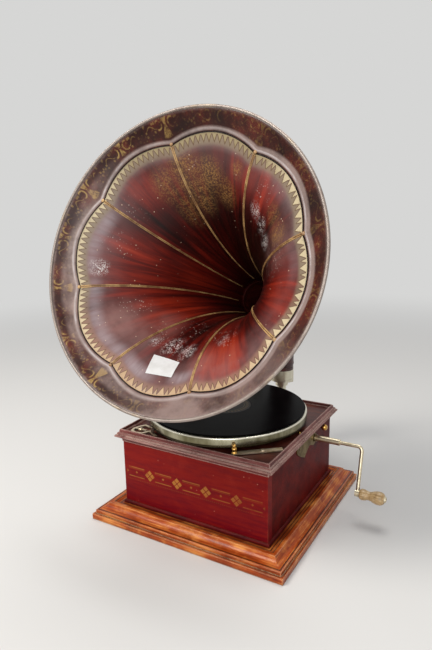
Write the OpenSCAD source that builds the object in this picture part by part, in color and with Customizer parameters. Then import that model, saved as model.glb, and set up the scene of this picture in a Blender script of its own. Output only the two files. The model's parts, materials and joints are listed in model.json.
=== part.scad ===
// Wind-up table gramophone with a petalled tin horn on a swivelling elbow,
// a square wooden cabinet with a spring motor, a crank and a hollow sound arm.
// All lengths are in millimetres. The cabinet stands on the plane z = 0, the
// front faces -Y, the crank comes out of the +X side.
// Each named part is a separate body that keeps its place in the whole.

/* [Cabinet] */

// Outside width and depth of the square cabinet body
body_w = 246.6; // [232:0.2:262]
// Width and depth of the spreading plinth
plinth_w = 324; // [310:1:340]
// Height of the plinth's lowest step
plinth_step = 8.8; // [6:0.2:10]
// Height at which the body stands on the plinth
foot_h = 20.5; // [18:0.5:24]
// Height of the wooden side panels
panel_h = 103.5; // [98:0.5:112]
// Thickness of the side panels
panel_t = 12; // [9:0.5:14]
// Thickness of the motor board
board_t = 12; // [9:0.5:14]
// How far the top moulding stands above the motor board
lip_h = 5; // [3:0.5:8]
// How far the top moulding stands out from the body
crown_out = 9.7; // [8:0.1:12]

/* [Turntable] */

// Radius of the turntable
platter_r = 127; // [115:0.5:132]
// Height of the turntable's top above the motor board
platter_rise = 21.4; // [20:0.2:26]
// Height of the turntable's nickel rim
rim_h = 11.2; // [8:0.2:12]
// Spindle centre across the cabinet
spindle_x = -6; // [-10:0.5:0]
// Spindle centre along the cabinet
spindle_y = -2; // [-6:0.5:4]
// Radius of the spindle
spindle_r = 3.6; // [3.2:0.1:4]
// Radius of the record on the turntable
record_r = 124.5; // [100:0.5:125]

/* [Spring motor] */

// Gear module of the wheel train
gear_m = 1; // [0.96:0.01:1.04]
// Depth of the lower motor plate below the motor board
motor_depth = 74; // [68:1:80]
// Thickness of the motor plates
plate_t = 3; // [2:0.5:3.5]
// Radius of the motor pillars
pillar_r = 4; // [3:0.5:5]

/* [Crank] */

// Crank axis behind the cabinet's middle
crank_y = 47.8; // [44:0.2:50]
// Crank axis below the motor board's underside
crank_drop = 13.1; // [12:0.1:15]
// Distance from the cabinet side to the middle of the crank arm
crank_out = 77.2; // [68:0.2:85]
// Distance from the crank axis to the handle axis
crank_r = 70; // [60:0.5:80]
// Lean of the resting crank arm toward the front, in degrees
crank_lean = 15; // [0:1:30]
// Radius of the crank rod
rod_r = 2.8; // [2.4:0.1:3.2]
// Radius of the thick sleeve beside the cabinet
sleeve_r = 4.8; // [4.4:0.1:5.4]
// Length of the thick sleeve
sleeve_l = 40; // [34:1:46]
// Length of the wooden handle
handle_l = 37; // [32:0.5:42]
// Largest radius of the wooden handle
handle_r = 10; // [9:0.1:11]

/* [Sound arm] */

// Distance of the arm and horn pivot behind the cabinet
pole_out = 76.7; // [70:0.5:84]
// Outer radius of the sound arm's pivot cup
cup_r = 21; // [20:0.2:22.5]
// Height of the pivot cup
cup_h = 18.5; // [17.5:0.5:20]
// Height of the cup's underside above the motor board
cup_rise = 10.5; // [10:0.5:14]
// Reach of the straight arm from its pivot
arm_l = 150; // [144:1:156]
// Height of the arm tube above the motor board
arm_rise = 61; // [58:0.5:66]
// Radius of the arm tube at the pivot
arm_r = 9; // [8.4:0.1:9.2]
// Radius of the arm tube at the far end
arm_end_r = 7.6; // [7:0.1:8]
// Resting angle of the arm to the left of straight ahead, in degrees
park_angle = 55; // [50:1:60]
// Radius of the soundbox
soundbox_r = 26; // [23:0.5:28]
// Thickness of the soundbox
soundbox_t = 14; // [12:0.5:16]

/* [Horn] */

// Radius of the horn mouth over its rolled edge
horn_r = 199; // [180:1:215]
// Level distance from the pivot to the centre of the mouth
horn_reach = 376.4; // [355:0.2:395]
// Height of the centre of the mouth
horn_z = 413.5; // [400:0.5:440]
// Upward tilt of the horn axis, in degrees
horn_tilt = 18.56; // [14:0.02:22]
// Resting turn of the horn toward the right, in degrees
horn_turn = 2.45; // [-10:0.05:10]
// Radius of the neck where the flare begins
throat_r = 31.2; // [28:0.1:34]
// Radius of the elbow's foot
elbow_foot_r = 21; // [20.6:0.1:22]
// Thickness of the sheet metal
sheet_t = 1; // [0.8:0.1:1.4]
// Radius of the rolled wire edge
bead_r = 2.1; // [1.6:0.1:2.6]
// Height of the raised seams
seam_h = 1.5; // [1:0.1:2]

/* [View] */

// Which part to draw

/* [Hidden] */

$fn = 64;

// Clearances
run_gap = 0.05;      // running fit, on the radius
press = 0.02;        // between parts pressed or screwed together
air = 0.3;           // between parts that pass each other

// Levels and outlines of the cabinet
body_r = body_w / 2;
inner_r = body_r - panel_t;
panel_top = foot_h + panel_h;
ledge_t = 3;
board_z = panel_top + ledge_t;
deck_z = board_z + board_t;
crown_z = deck_z + lip_h;
board_r = body_r - 1.5;
recess_r = body_r + 1.4;
plinth_r = plinth_w / 2;
plinth_in = inner_r - 3.3;
base_rail_w = 30;
base_board_t = 8;

// Levels of the turntable
platter_z = deck_z + platter_rise;
mat_t = 1.2;
mat_r = platter_r - 6;
record_t = 1.8;
record_z = platter_z + mat_t + record_t;
label_r = 38;
label_t = 0.4;
skirt_h = rim_h + 3.6;
skirt_t = 1.8;
hub_r = 14;
hub_h = 13;
spindle_rise = 8.6;
spindle_tip = 3;
shank_r = spindle_r + 0.4;
seat_h = 6;

// Levels and wheels of the motor
upper_plate_z = board_z - plate_t - 3;
lower_plate_z = board_z - motor_depth - plate_t;
mz = lower_plate_z + plate_t;
crank_z = board_z - crank_drop;
n_spindle = 12;
n_middle = 48;
n_middle_pinion = 16;
n_barrel = 64;
n_crown = 36;
n_crank = 12;
n_governor = 24;
fast_gap = gear_m * (n_spindle + n_middle) / 2;
slow_gap = gear_m * (n_middle_pinion + n_barrel) / 2;
barrel_x = 36;
barrel_y = crank_y;
arbor_gap = norm([barrel_x - spindle_x, barrel_y - spindle_y]);
arbor_turn = atan2(barrel_y - spindle_y, barrel_x - spindle_x)
    + acos((fast_gap * fast_gap + arbor_gap * arbor_gap - slow_gap * slow_gap)
    / (2 * fast_gap * arbor_gap));
middle_x = spindle_x + fast_gap * cos(arbor_turn);
middle_y = spindle_y + fast_gap * sin(arbor_turn);
crown_r = gear_m * n_crown / 2;
crank_pinion_r = gear_m * n_crank / 2;
crown_pitch_z = crank_z - crank_pinion_r;
crown_tip_z = crown_pitch_z + 0.85 * gear_m;
crown_root_z = crown_pitch_z - 1.2 * gear_m;
crown_t = 3;
drum_r = gear_m * n_barrel / 2 - 3;
drum_t = 2;
barrel_wheel_z = mz + 19;
barrel_wheel_t = 4;
drum_z = barrel_wheel_z + barrel_wheel_t;
drum_top = crown_root_z - crown_t - 1;
middle_wheel_z = mz + 7;
middle_wheel_t = 4;
arbor_r = 3;
barrel_arbor_r = 4;
shaft_r = 3.5;
worm_pitch_r = 5 * gear_m;
governor_y = spindle_y - gear_m * n_governor / 2 - worm_pitch_r;
governor_z = upper_plate_z - 22;
governor_shaft_r = 1.8;
governor_x0 = spindle_x - 20;
governor_x1 = spindle_x + 79;
disc_x = spindle_x + 52;
disc_r = 14;
disc_t = 2;
disc_hub = 3;
collar_l = 5;
collar_x = spindle_x + 14;
weight_x = spindle_x + 31;
weight_r = 4.6;
weight_out = 12.4;
leaf_out = 8;
plate_x0 = -44;
plate_x1 = 82;
plate_y0 = -42;
plate_y1 = 86;
pillar_in = 8;
cock_t = 4;

// Speed lever on the deck and its arm under the board
lever_w = 9;
lever_t = 1.8;
lever_x = body_r - 25.3;
lever_y = -body_r + 35.3;
lever_pin_r = 2.5;
knob_pin_r = 1.5;
knob_angle = -56.7;
knob_x = spindle_x + (platter_r + 5.9) * cos(knob_angle);
knob_y = spindle_y + (platter_r + 5.9) * sin(knob_angle);
lever_end = 29;
lever_turn = atan2(lever_y - knob_y, lever_x - knob_x);
knob_gap = norm([lever_x - knob_x, lever_y - knob_y]);
pad_x = disc_x - disc_t / 2 - air;
arm_pad_z = governor_z + 12;
arm_plate_z = arm_pad_z + 3.4;
pad_l = 3;

// Brake in the deck's corner, its pad beside the turntable's edge
brake_a = 237.4;
brake_r = platter_r + air;
brake_z = deck_z + 1.2;
brake_t = 1.6;
brake_x = -recess_r + 23.7;
brake_y = -recess_r + 17.7;

// Crank
crank_x = body_r + crank_out;
bend_r = 7;
sleeve_x = body_r + 2.4;
shaft_grip = 14;
rod_start = 16.2;
eye_t = 2 * rod_r + 0.9;
handle_pin_r = 2.4;
handle_x = crank_x + eye_t / 2 + 0.2;

// Sound arm and horn pivot
pole_y = body_r + pole_out;
cup_z = deck_z + cup_rise;
cup_top = cup_z + cup_h;
cup_wall = 2.5;
cup_flange = 0.6;
cup_side = 2.2;
lug_z = cup_z - 10;
bracket_z = panel_top - 44;
bracket_t = 5;
screw_r = 2;
ring_z = cup_top + 0.4;
ring_top = ring_z + 2.8;
spigot_top = ring_top + 13;
pin_r = 4;
arm_z0 = cup_z + arm_r + 0.1;
arm_z1 = deck_z + arm_rise;
tube_wall = 1.2;
sweep_r = 16;
sweep_l = arm_z1 - arm_z0 - 2 * sweep_r;
sweep_start = cup_r + 9;
sweep_end = sweep_start + 2 * sweep_r;
goose_r = 16;
goose_l = 2;
goose_tube_r = arm_end_r;
goose_gap = 0.3;
soundbox_in = goose_r + 3;
soundbox_y = -(arm_l + goose_l + goose_r);
stylus_lean = 25;
needle_tip_z = record_z + 0.6;
needle_r = 0.8;
needle_point = 3;
clamp_at = soundbox_r + 3;
bar_z = soundbox_t + 1.2;
clamp_screw = clamp_at + 2.4;
clamp_pin_r = 0.96;
needle_reach = (arm_z1 - needle_tip_z) / cos(stylus_lean);

// Horn
foot_z = ring_top + air;
foot_top = foot_z + 5.8;
elbow_r = (horn_z - horn_reach * tan(horn_tilt) - foot_top)
    / (cos(horn_tilt) - (1 - sin(horn_tilt)) * tan(horn_tilt));
bell_depth = (horn_reach - elbow_r * (1 - sin(horn_tilt))) / cos(horn_tilt);
elbow_end_r = throat_r - 0.6;
neck_l = 8.2;
cusp_r = 0.8151 * horn_r;
cusp_depth = 23.05;
petal_swell = 0.0572;
petal_dish = 4.24;
petals = 8;
petal_power = 1.8;
petal_phase = 13.72;
flare_near = 0.4323;
flare_far = 0.0815;
flare_r1 = throat_r + 13;
flare_r2 = 0.5648 * horn_r;
bell_sides = 64;
bell_rings = 16;
elbow_sides = 28;
elbow_rings = 14;
crease = 0.25;
rim_outer = horn_r - 2 * bead_r - 0.1;

// Plain helpers

function gear_points(n, m) = [for (i = [0:4 * n - 1])
    let (k = floor(i / 4), j = i % 4,
        a = (k + [-0.26, -0.1, 0.1, 0.26][j]) * 360 / n,
        r = m * n / 2 + m * [-1.2, 0.85, 0.85, -1.2][j])
    [r * cos(a), r * sin(a)]];

function unit2(v) = v / norm(v);
function normal2(v) = [-v[1], v[0]] / norm(v);
function corner2(p, i, h) = let (n = len(p),
    a = i == 0 ? normal2(p[1] - p[0]) : normal2(p[i] - p[i - 1]),
    b = i == n - 1 ? a : normal2(p[i + 1] - p[i]),
    m = unit2(a + b))
    p[i] + m * h / (m * b);
function ribbon(p, w) = concat([for (i = [0:len(p) - 1]) corner2(p, i, w / 2)],
    [for (i = [len(p) - 1:-1:0]) corner2(p, i, -w / 2)]);

module gear(n, m, h, bore, turn = 0) {
    linear_extrude(height = h) difference() {
        rotate([0, 0, turn]) polygon(gear_points(n, m));
        circle(r = bore);
    }
}

module ring(r1, r0, h) {
    difference() {
        cylinder(r = r1, h = h);
        translate([0, 0, -1]) cylinder(r = r0, h = h + 2);
    }
}

// Four mitred lengths of one moulding; the profile is drawn with the distance
// from the cabinet's middle as x and the height as y
module mitred_frame(reach) {
    for (a = [0:90:270]) rotate([0, 0, a]) intersection() {
        rotate([90, 0, 0]) linear_extrude(height = 2 * reach, center = true) children();
        translate([0, 0, -1]) linear_extrude(height = 400)
            polygon([[0, 0], [reach, -reach], [reach, reach]]);
    }
}

// A closed skin over rings of n points that run counter-clockwise about the
// direction of travel, first the outer rings and then, for a tube, the inner ones
module skin(outer, inner = []) {
    n = len(outer[0]);
    m = len(outer);
    hollow = len(inner) > 0;
    at = n * m;
    points = [for (q = [outer, inner]) for (r = q) for (p = r) p];
    walls = [for (j = [0:m - 2]) for (i = [0:n - 1]) let (k = (i + 1) % n,
        a = j * n + i, b = j * n + k, c = b + n, d = a + n)
        each [[a, d, c], [a, c, b]]];
    lining = !hollow ? [] : [for (j = [0:m - 2]) for (i = [0:n - 1]) let (k = (i + 1) % n,
        a = at + j * n + i, b = at + j * n + k, c = b + n, d = a + n)
        each [[a, c, d], [a, b, c]]];
    last = (m - 1) * n;
    ends = hollow ? [for (i = [0:n - 1]) let (k = (i + 1) % n)
        each [[i, k, at + k], [i, at + k, at + i],
        [last + i, at + last + i, at + last + k], [last + i, at + last + k, last + k]]]
        : [[for (i = [0:n - 1]) i], [for (i = [n - 1:-1:0]) last + i]];
    polyhedron(points = points, faces = concat(walls, lining, ends), convexity = 8);
}

// Cabinet

module plinth() {
    hollow_r = 12.05;
    hollow_z = plinth_step + 18.7;
    color([0.55, 0.27, 0.13]) mitred_frame(plinth_r + 2) difference() {
        polygon([[plinth_in, 0], [plinth_r, 0], [plinth_r, plinth_step],
            [plinth_r - 4.2, plinth_step], [plinth_r - 4.2, plinth_step + 5.9],
            [plinth_r - 7, plinth_step + 6.8], [plinth_r - 7, foot_h + 3.9],
            [body_r + 13.2, foot_h + 3.9], [body_r + 8.7, foot_h + 0.5],
            [body_r + 6.7, foot_h], [plinth_in, foot_h]]);
        translate([plinth_r - 7.4, hollow_z]) circle(r = hollow_r);
    }
}

module bottom_board() {
    color([0.45, 0.3, 0.18]) translate([0, 0, foot_h + base_board_t / 2])
        cube([2 * inner_r - 0.2, 2 * inner_r - 0.2, base_board_t], center = true);
}

// Rail across the underside, level with the foot of the plinth
module base_rail() {
    color([0.45, 0.3, 0.18]) translate([0, 0, foot_h / 2])
        cube([2 * plinth_in - 0.2, base_rail_w, foot_h], center = true);
}

module cross_panel(side) {
    translate([-body_r, side > 0 ? inner_r : -body_r, foot_h])
        cube([body_w, panel_t, panel_h]);
}

module front_panel() {
    color([0.5, 0.1, 0.07]) cross_panel(-1);
}

module back_panel() {
    color([0.35, 0.1, 0.07]) cross_panel(1);
}

module left_panel() {
    color([0.4, 0.1, 0.07]) translate([-body_r, -inner_r, foot_h])
        cube([panel_t, 2 * inner_r, panel_h]);
}

module right_panel() {
    color([0.35, 0.08, 0.06]) difference() {
        translate([inner_r, -inner_r, foot_h]) cube([panel_t, 2 * inner_r, panel_h]);
        translate([inner_r - 1, crank_y, crank_z]) rotate([0, 90, 0])
            cylinder(r = shaft_r + 1, h = panel_t + 2);
    }
}

module foot_bead() {
    color([0.3, 0.1, 0.06]) mitred_frame(body_r + 8) intersection() {
        translate([body_r, foot_h]) square([3, 5.5]);
        translate([body_r - 1.1, foot_h + 1.4]) circle(r = 4.1);
    }
}

module top_moulding() {
    b = body_r;
    z = panel_top;
    o = crown_out;
    color([0.45, 0.17, 0.13]) mitred_frame(body_r + 30) difference() {
        union() {
            polygon([[inner_r, z], [b + 1.1, z], [b + 1.1, z + 1.4], [b + o - 2.1, z + 1.4],
                [b + o - 2.1, z + 7.9], [b + o - 0.7, z + 8.2], [b + o, z + 8.9],
                [b + o, z + 10.3], [b + o - 0.7, z + 11.2], [b + o - 2.1, z + 11.6],
                [b + o - 2.1, z + 12.3], [b + 5.4, z + 13.2], [b + 4, z + 16.4],
                [b + 3.7, crown_z - 1.4], [b + 2.6, crown_z], [recess_r, crown_z],
                [recess_r, deck_z], [board_r + 0.2, deck_z], [board_r + 0.2, board_z],
                [inner_r, board_z]]);
            translate([b + 5.1, z + 13.3]) circle(r = 1.7);
        }
        translate([b + o - 2.1, z + 1.4]) circle(r = o - 3.2);
    }
}

module motor_board() {
    color([0.4, 0.12, 0.09]) difference() {
        translate([-board_r, -board_r, board_z]) cube([2 * board_r, 2 * board_r, board_t]);
        translate([spindle_x, spindle_y, board_z - 1]) cylinder(r = 9, h = board_t + 2);
        translate([lever_x, lever_y, board_z - 1]) cylinder(r = lever_pin_r + 1, h = board_t + 2);
    }
}

module screw_head(r, h) {
    difference() {
        cylinder(r1 = r, r2 = r * 0.7, h = h);
        translate([-r, -r * 0.12, h * 0.6]) cube([2 * r, r * 0.24, h]);
    }
}

module board_screws() {
    at = recess_r - 7;
    color([0.7, 0.6, 0.35]) for (p = [[at, 0], [0, at], [-at, 0], [0, -at]])
        translate([p[0], p[1], deck_z]) screw_head(3.6, 1.6);
}

// Brass plate round the crank hole, its top tucked under the moulding
module crank_plate() {
    top = panel_top - 0.2;
    z = crank_z;
    y = crank_y;
    color([0.55, 0.45, 0.2]) translate([body_r, 0, 0]) difference() {
        union() {
            rotate([90, 0, 90]) linear_extrude(height = 1.4) polygon([
                [y - 72.8, top], [y - 72.8, z + 2.2], [y - 69.8, z - 1.4],
                [y - 57.8, z - 8.9], [y - 43.4, z - 15.8], [y - 37.4, z - 10.9],
                [y - 25.1, z - 4.3], [y - 20.8, z - 4.3], [y - 5.2, z - 10.2],
                [y + 4.2, z - 7.4], [y + 6.4, z + 1.5], [y + 4, z + 6.8], [y - 2, top]]);
            translate([0, y, z]) rotate([0, 90, 0]) cylinder(r = sleeve_r + 2, h = 2.1);
        }
        translate([-1, y, z]) rotate([0, 90, 0]) cylinder(r = shaft_r + run_gap, h = 6);
        for (p = [[-66, 6], [-43, -10.5], [-14, 3]])
            translate([1, y + p[0], z + p[1]]) rotate([0, 90, 0]) cylinder(r = 1.2, h = 2);
    }
}

module side_knob() {
    ball = 5.3;
    color([0.75, 0.55, 0.25]) translate([body_r, 77, panel_top - 2.4]) rotate([0, 90, 0]) {
        difference() {
            cylinder(r = 2, h = 4);
            translate([0, 0, -1]) cylinder(r = 0.6, h = 3);
        }
        translate([0, 0, 1.2 + ball]) sphere(r = ball);
    }
}

// Spring motor

module motor_plate(z) {
    difference() {
        translate([plate_x0, plate_y0, z])
            cube([plate_x1 - plate_x0, plate_y1 - plate_y0, plate_t]);
        for (p = [[spindle_x, spindle_y, shank_r], [middle_x, middle_y, arbor_r],
            [barrel_x, barrel_y, barrel_arbor_r]])
            translate([p[0], p[1], z - 1]) cylinder(r = p[2] + run_gap, h = plate_t + 2);
    }
}

module motor_plates() {
    color([0.6, 0.6, 0.58]) {
        motor_plate(lower_plate_z);
        motor_plate(upper_plate_z);
    }
}

module motor_pillars() {
    color([0.7, 0.6, 0.35]) for (x = [plate_x0 + pillar_in, plate_x1 - pillar_in])
        for (y = [plate_y0 + pillar_in, plate_y1 - pillar_in]) {
            translate([x, y, mz]) cylinder(r = pillar_r, h = upper_plate_z - mz);
            translate([x, y, upper_plate_z + plate_t])
                cylinder(r = pillar_r, h = board_z - upper_plate_z - plate_t);
        }
}

// Hanging bearing of a level shaft at x
module cock(x, y, z, w, r) {
    difference() {
        translate([x, y - w / 2, z - r - 2.2]) cube([cock_t, w, upper_plate_z - z + r + 2.2]);
        translate([x - 1, y, z]) rotate([0, 90, 0]) cylinder(r = r + run_gap, h = cock_t + 2);
    }
}

module shaft_bearings() {
    color([0.62, 0.62, 0.6]) {
        cock(governor_x0 + 1, governor_y, governor_z, 12, governor_shaft_r);
        cock(governor_x1 - 1 - cock_t, governor_y, governor_z, 12, governor_shaft_r);
        cock(barrel_x + 6.6, crank_y, crank_z, 10, shaft_r);
    }
}

module spindle() {
    color([0.75, 0.75, 0.73]) translate([spindle_x, spindle_y, 0]) {
        translate([0, 0, lower_plate_z]) cylinder(r = shank_r, h = platter_z - seat_h - lower_plate_z);
        translate([0, 0, platter_z - seat_h]) cylinder(r1 = shank_r, r2 = spindle_r, h = seat_h);
        translate([0, 0, platter_z])
            cylinder(r = spindle_r, h = record_z + spindle_rise - spindle_tip - platter_z);
        translate([0, 0, record_z + spindle_rise - spindle_tip])
            cylinder(r1 = spindle_r, r2 = spindle_r * 0.45, h = spindle_tip);
        translate([0, 0, mz + 5])
            gear(n_spindle, gear_m, 8, spindle_r, 180 / n_spindle + arbor_turn);
    }
}

module governor_wheel() {
    color([0.72, 0.6, 0.3]) translate([spindle_x, spindle_y, governor_z - 3])
        gear(n_governor, gear_m, 6, shank_r + press, -90);
}

module middle_arbor() {
    color([0.7, 0.7, 0.68]) translate([middle_x, middle_y, 0]) {
        translate([0, 0, lower_plate_z]) cylinder(r = arbor_r, h = upper_plate_z + plate_t - lower_plate_z);
        translate([0, 0, mz + 18]) gear(n_middle_pinion, gear_m, 6, arbor_r - 1, slow_turn);
    }
}

slow_turn = atan2(barrel_y - middle_y, barrel_x - middle_x);

module middle_wheel() {
    color([0.74, 0.62, 0.3]) translate([middle_x, middle_y, middle_wheel_z]) difference() {
        gear(n_middle, gear_m, middle_wheel_t, arbor_r + press, arbor_turn + 180);
        for (a = [45:90:315]) rotate([0, 0, a + arbor_turn]) translate([13 * gear_m, 0, -1])
            cylinder(r = 4.5, h = middle_wheel_t + 2);
    }
}

module barrel_wheel() {
    color([0.74, 0.62, 0.3]) translate([barrel_x, barrel_y, barrel_wheel_z])
        gear(n_barrel, gear_m, barrel_wheel_t, barrel_arbor_r + run_gap,
            slow_turn + 180 + 180 / n_barrel);
}

module spring_barrel() {
    color([0.68, 0.56, 0.28]) translate([barrel_x, barrel_y, drum_z]) difference() {
        cylinder(r = drum_r, h = drum_top - drum_z);
        translate([0, 0, -1]) cylinder(r = drum_r - drum_t, h = drum_top - drum_z - drum_t + 1);
        cylinder(r = barrel_arbor_r + run_gap, h = drum_top - drum_z + 1);
    }
}

// The coiled strip is drawn as half circles about two centres
module mainspring() {
    pitch = 2.6;
    strip = 0.8;
    coils = floor((drum_r - drum_t - barrel_arbor_r - 5) / pitch);
    color([0.35, 0.37, 0.42]) translate([barrel_x, barrel_y, drum_z + 1.5])
        for (i = [0:coils - 1]) {
            r = barrel_arbor_r + 4 + i * pitch;
            rotate_extrude(angle = 180) translate([r, 0]) square([strip, drum_top - drum_z - 6]);
            translate([-pitch / 2, 0, 0]) rotate([0, 0, 180]) rotate_extrude(angle = 180)
                translate([r + pitch / 2, 0]) square([strip, drum_top - drum_z - 6]);
        }
}

module winding_arbor() {
    color([0.7, 0.7, 0.68]) translate([barrel_x, barrel_y, lower_plate_z]) {
        cylinder(r = barrel_arbor_r, h = upper_plate_z + plate_t - lower_plate_z);
        translate([0, 0, drum_z + 1.5 - lower_plate_z])
            ring(barrel_arbor_r + 3, barrel_arbor_r - 1, drum_top - drum_z - 6);
    }
}

// Face wheel: teeth stand up from a flat disc under the crank pinion
module crown_wheel() {
    color([0.74, 0.62, 0.3]) translate([barrel_x, barrel_y, crown_root_z - crown_t]) {
        ring(crown_r + 4, barrel_arbor_r + press, crown_t);
        translate([0, 0, crown_t]) for (i = [0:n_crown - 1])
            rotate([0, 0, (i + 0.5) * 360 / n_crown]) translate([crown_r - 3, 0, 0])
                rotate([90, 0, 90]) linear_extrude(height = 6)
                polygon([[-0.75 * gear_m, -0.2], [0.75 * gear_m, -0.2],
                    [0.28 * gear_m, crown_tip_z - crown_root_z],
                    [-0.28 * gear_m, crown_tip_z - crown_root_z]]);
    }
}

module winding_shaft() {
    color([0.68, 0.68, 0.66]) translate([0, crank_y, crank_z]) rotate([0, 90, 0]) {
        translate([0, 0, barrel_x + 6]) cylinder(r = shaft_r, h = sleeve_x + shaft_grip - barrel_x - 6);
        translate([0, 0, barrel_x + crown_r - 3]) gear(n_crank, gear_m, 6, shaft_r - 1, 0);
    }
}

module crank_sleeve() {
    color([0.6, 0.58, 0.52]) translate([sleeve_x, crank_y, crank_z]) rotate([0, 90, 0])
        difference() {
            union() {
                cylinder(r = sleeve_r, h = sleeve_l);
                cylinder(r = sleeve_r + 0.5, h = 3);
            }
            translate([0, 0, -1]) cylinder(r = shaft_r + press, h = shaft_grip + 1.2);
            translate([0, 0, rod_start - 0.2]) cylinder(r = rod_r + press, h = sleeve_l);
        }
}

// Rod along the crank axis, a bend, the arm and the eye that holds the handle pin
module crank_rod() {
    from = sleeve_x + rod_start;
    color([0.62, 0.6, 0.54]) translate([0, crank_y, crank_z]) rotate([-crank_lean, 0, 0]) {
        translate([from, 0, 0]) rotate([0, 90, 0]) cylinder(r = rod_r, h = crank_x - bend_r - from);
        translate([crank_x - bend_r, 0, -bend_r]) rotate([90, 0, 0])
            rotate_extrude(angle = 90) translate([bend_r, 0]) circle(r = rod_r);
        translate([crank_x, 0, -crank_r + 2]) cylinder(r = rod_r, h = crank_r - bend_r - 2);
        translate([crank_x - eye_t / 2, 0, -crank_r]) rotate([0, 90, 0])
            cylinder(r = 5.4, h = eye_t);
        translate([crank_x - eye_t / 2 - 1, 0, -crank_r]) rotate([0, 90, 0])
            cylinder(r = handle_pin_r, h = handle_x + handle_l + 2 - crank_x + eye_t / 2 + 1);
    }
}

module crank_handle() {
    l = handle_l;
    r = handle_r;
    color([0.72, 0.58, 0.38]) translate([0, crank_y, crank_z]) rotate([-crank_lean, 0, 0])
        translate([handle_x, 0, -crank_r]) rotate([0, 90, 0]) difference() {
            rotate_extrude() polygon([[0, 0], [r * 0.62, 0], [r * 0.76, 1.4], [r * 0.84, 3.6],
                [r * 0.84, 6.4], [r * 0.76, 9.4], [r * 0.66, 12.2], [r * 0.64, 14.4],
                [r * 0.7, l * 0.47], [r * 0.84, l * 0.56], [r * 0.95, l * 0.66], [r, l * 0.77],
                [r * 0.97, l * 0.87], [r * 0.84, l * 0.95], [r * 0.62, l], [0, l]]);
            translate([0, 0, -1]) cylinder(r = handle_pin_r + run_gap, h = l + 2);
        }
}

// Washer and riveted pin end at the handle's tip
module handle_cap() {
    color([0.6, 0.58, 0.52]) translate([0, crank_y, crank_z]) rotate([-crank_lean, 0, 0])
        translate([handle_x + handle_l + 0.1, 0, -crank_r]) rotate([0, 90, 0]) difference() {
            cylinder(r1 = 5, r2 = 3.8, h = 2.4);
            translate([0, 0, -1]) cylinder(r = handle_pin_r + run_gap, h = 6);
        }
}

// One left-handed thread on a core, with a gap between its turns facing the
// governor wheel's tooth at rest
module worm() {
    pitch = PI * gear_m;
    turns = 6;
    sides = 16;
    core = worm_pitch_r - 1.15 * gear_m;
    r0 = core - 0.1;
    r1 = worm_pitch_r + 0.8 * gear_m;
    cylinder(r = core, h = (turns + 1) * pitch, center = true);
    skin([for (i = [-turns * sides / 2:turns * sides / 2])
        let (a = 270 - i * 360 / sides, z = i * pitch / sides)
        [[r0 * cos(a), r0 * sin(a), z - 0.3 * pitch], [r1 * cos(a), r1 * sin(a), z - 0.1 * pitch],
            [r1 * cos(a), r1 * sin(a), z + 0.1 * pitch], [r0 * cos(a), r0 * sin(a), z + 0.3 * pitch]]]);
}

module governor_shaft() {
    color([0.7, 0.7, 0.68]) translate([0, governor_y, governor_z]) rotate([0, 90, 0]) {
        translate([0, 0, governor_x0]) cylinder(r = governor_shaft_r, h = governor_x1 - governor_x0);
        translate([0, 0, spindle_x]) worm();
    }
}

module governor_weights() {
    span = disc_x - disc_hub - 0.2 - collar_x;
    color([0.55, 0.5, 0.4]) translate([0, governor_y, governor_z]) {
        translate([collar_x, 0, 0]) rotate([0, 90, 0])
            ring(leaf_out - 0.4, governor_shaft_r + press, collar_l);
        for (a = [60:120:300]) rotate([a, 0, 0]) {
            translate([collar_x, -2.5, leaf_out - 1]) cube([span, 5, 0.9]);
            translate([weight_x, 0, weight_out]) difference() {
                sphere(r = weight_r);
                translate([0, 0, -weight_r]) cube([12, 12, 1], center = true);
            }
        }
    }
}

module friction_disc() {
    color([0.66, 0.64, 0.6]) translate([disc_x, governor_y, governor_z]) rotate([0, 90, 0]) {
        translate([0, 0, -disc_t / 2]) ring(disc_r, governor_shaft_r + press, disc_t);
        translate([0, 0, -disc_hub]) ring(leaf_out - 1.3, governor_shaft_r + press, disc_hub);
    }
}

// Deck levers

module speed_lever() {
    color([0.5, 0.45, 0.35]) translate([lever_x, lever_y, 0]) {
        translate([0, 0, deck_z + 0.2]) ring(4, lever_pin_r - 0.5, 0.9);
        translate([0, 0, deck_z + 1]) rotate([0, 0, lever_turn + 180])
            linear_extrude(height = lever_t) difference() {
            union() {
                translate([-lever_end, -lever_w / 2]) square([lever_end + knob_gap, lever_w]);
                translate([knob_gap, 0]) circle(r = lever_w / 2);
            }
            translate([knob_gap, 0]) circle(r = knob_pin_r + press);
        }
        translate([0, 0, deck_z + 0.9 + lever_t]) screw_head(3.4, 1.5);
        translate([0, 0, arm_plate_z - 1]) cylinder(r = lever_pin_r, h = deck_z + 2.2 - arm_plate_z);
    }
}

module speed_knob() {
    z = deck_z + 1 + lever_t;
    color([0.75, 0.56, 0.26]) translate([knob_x, knob_y, 0]) {
        translate([0, 0, deck_z + 0.6]) cylinder(r = knob_pin_r, h = 4);
        translate([0, 0, z]) cylinder(r1 = 4.4, r2 = 3, h = 2.4);
        translate([0, 0, z + 5.4]) sphere(r = 3.9);
        translate([0, 0, z + 10.4]) sphere(r = 2.9);
    }
}

// Arm on the lever's shaft, its leather pad resting beside the friction disc
module governor_arm() {
    color([0.45, 0.42, 0.36]) {
        translate([0, 0, arm_plate_z]) linear_extrude(height = 2) difference() {
            polygon(ribbon([[lever_x + 4, lever_y - 5], [pad_x - 4, governor_y]], 9));
            translate([lever_x, lever_y]) circle(r = lever_pin_r + press);
        }
        translate([pad_x - 2 * pad_l, governor_y - 3, arm_pad_z - 2])
            cube([pad_l, 6, arm_plate_z + 3 - arm_pad_z]);
        translate([pad_x - pad_l, governor_y, arm_pad_z]) rotate([0, 90, 0])
            cylinder(r = 1.9, h = pad_l);
    }
}

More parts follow.
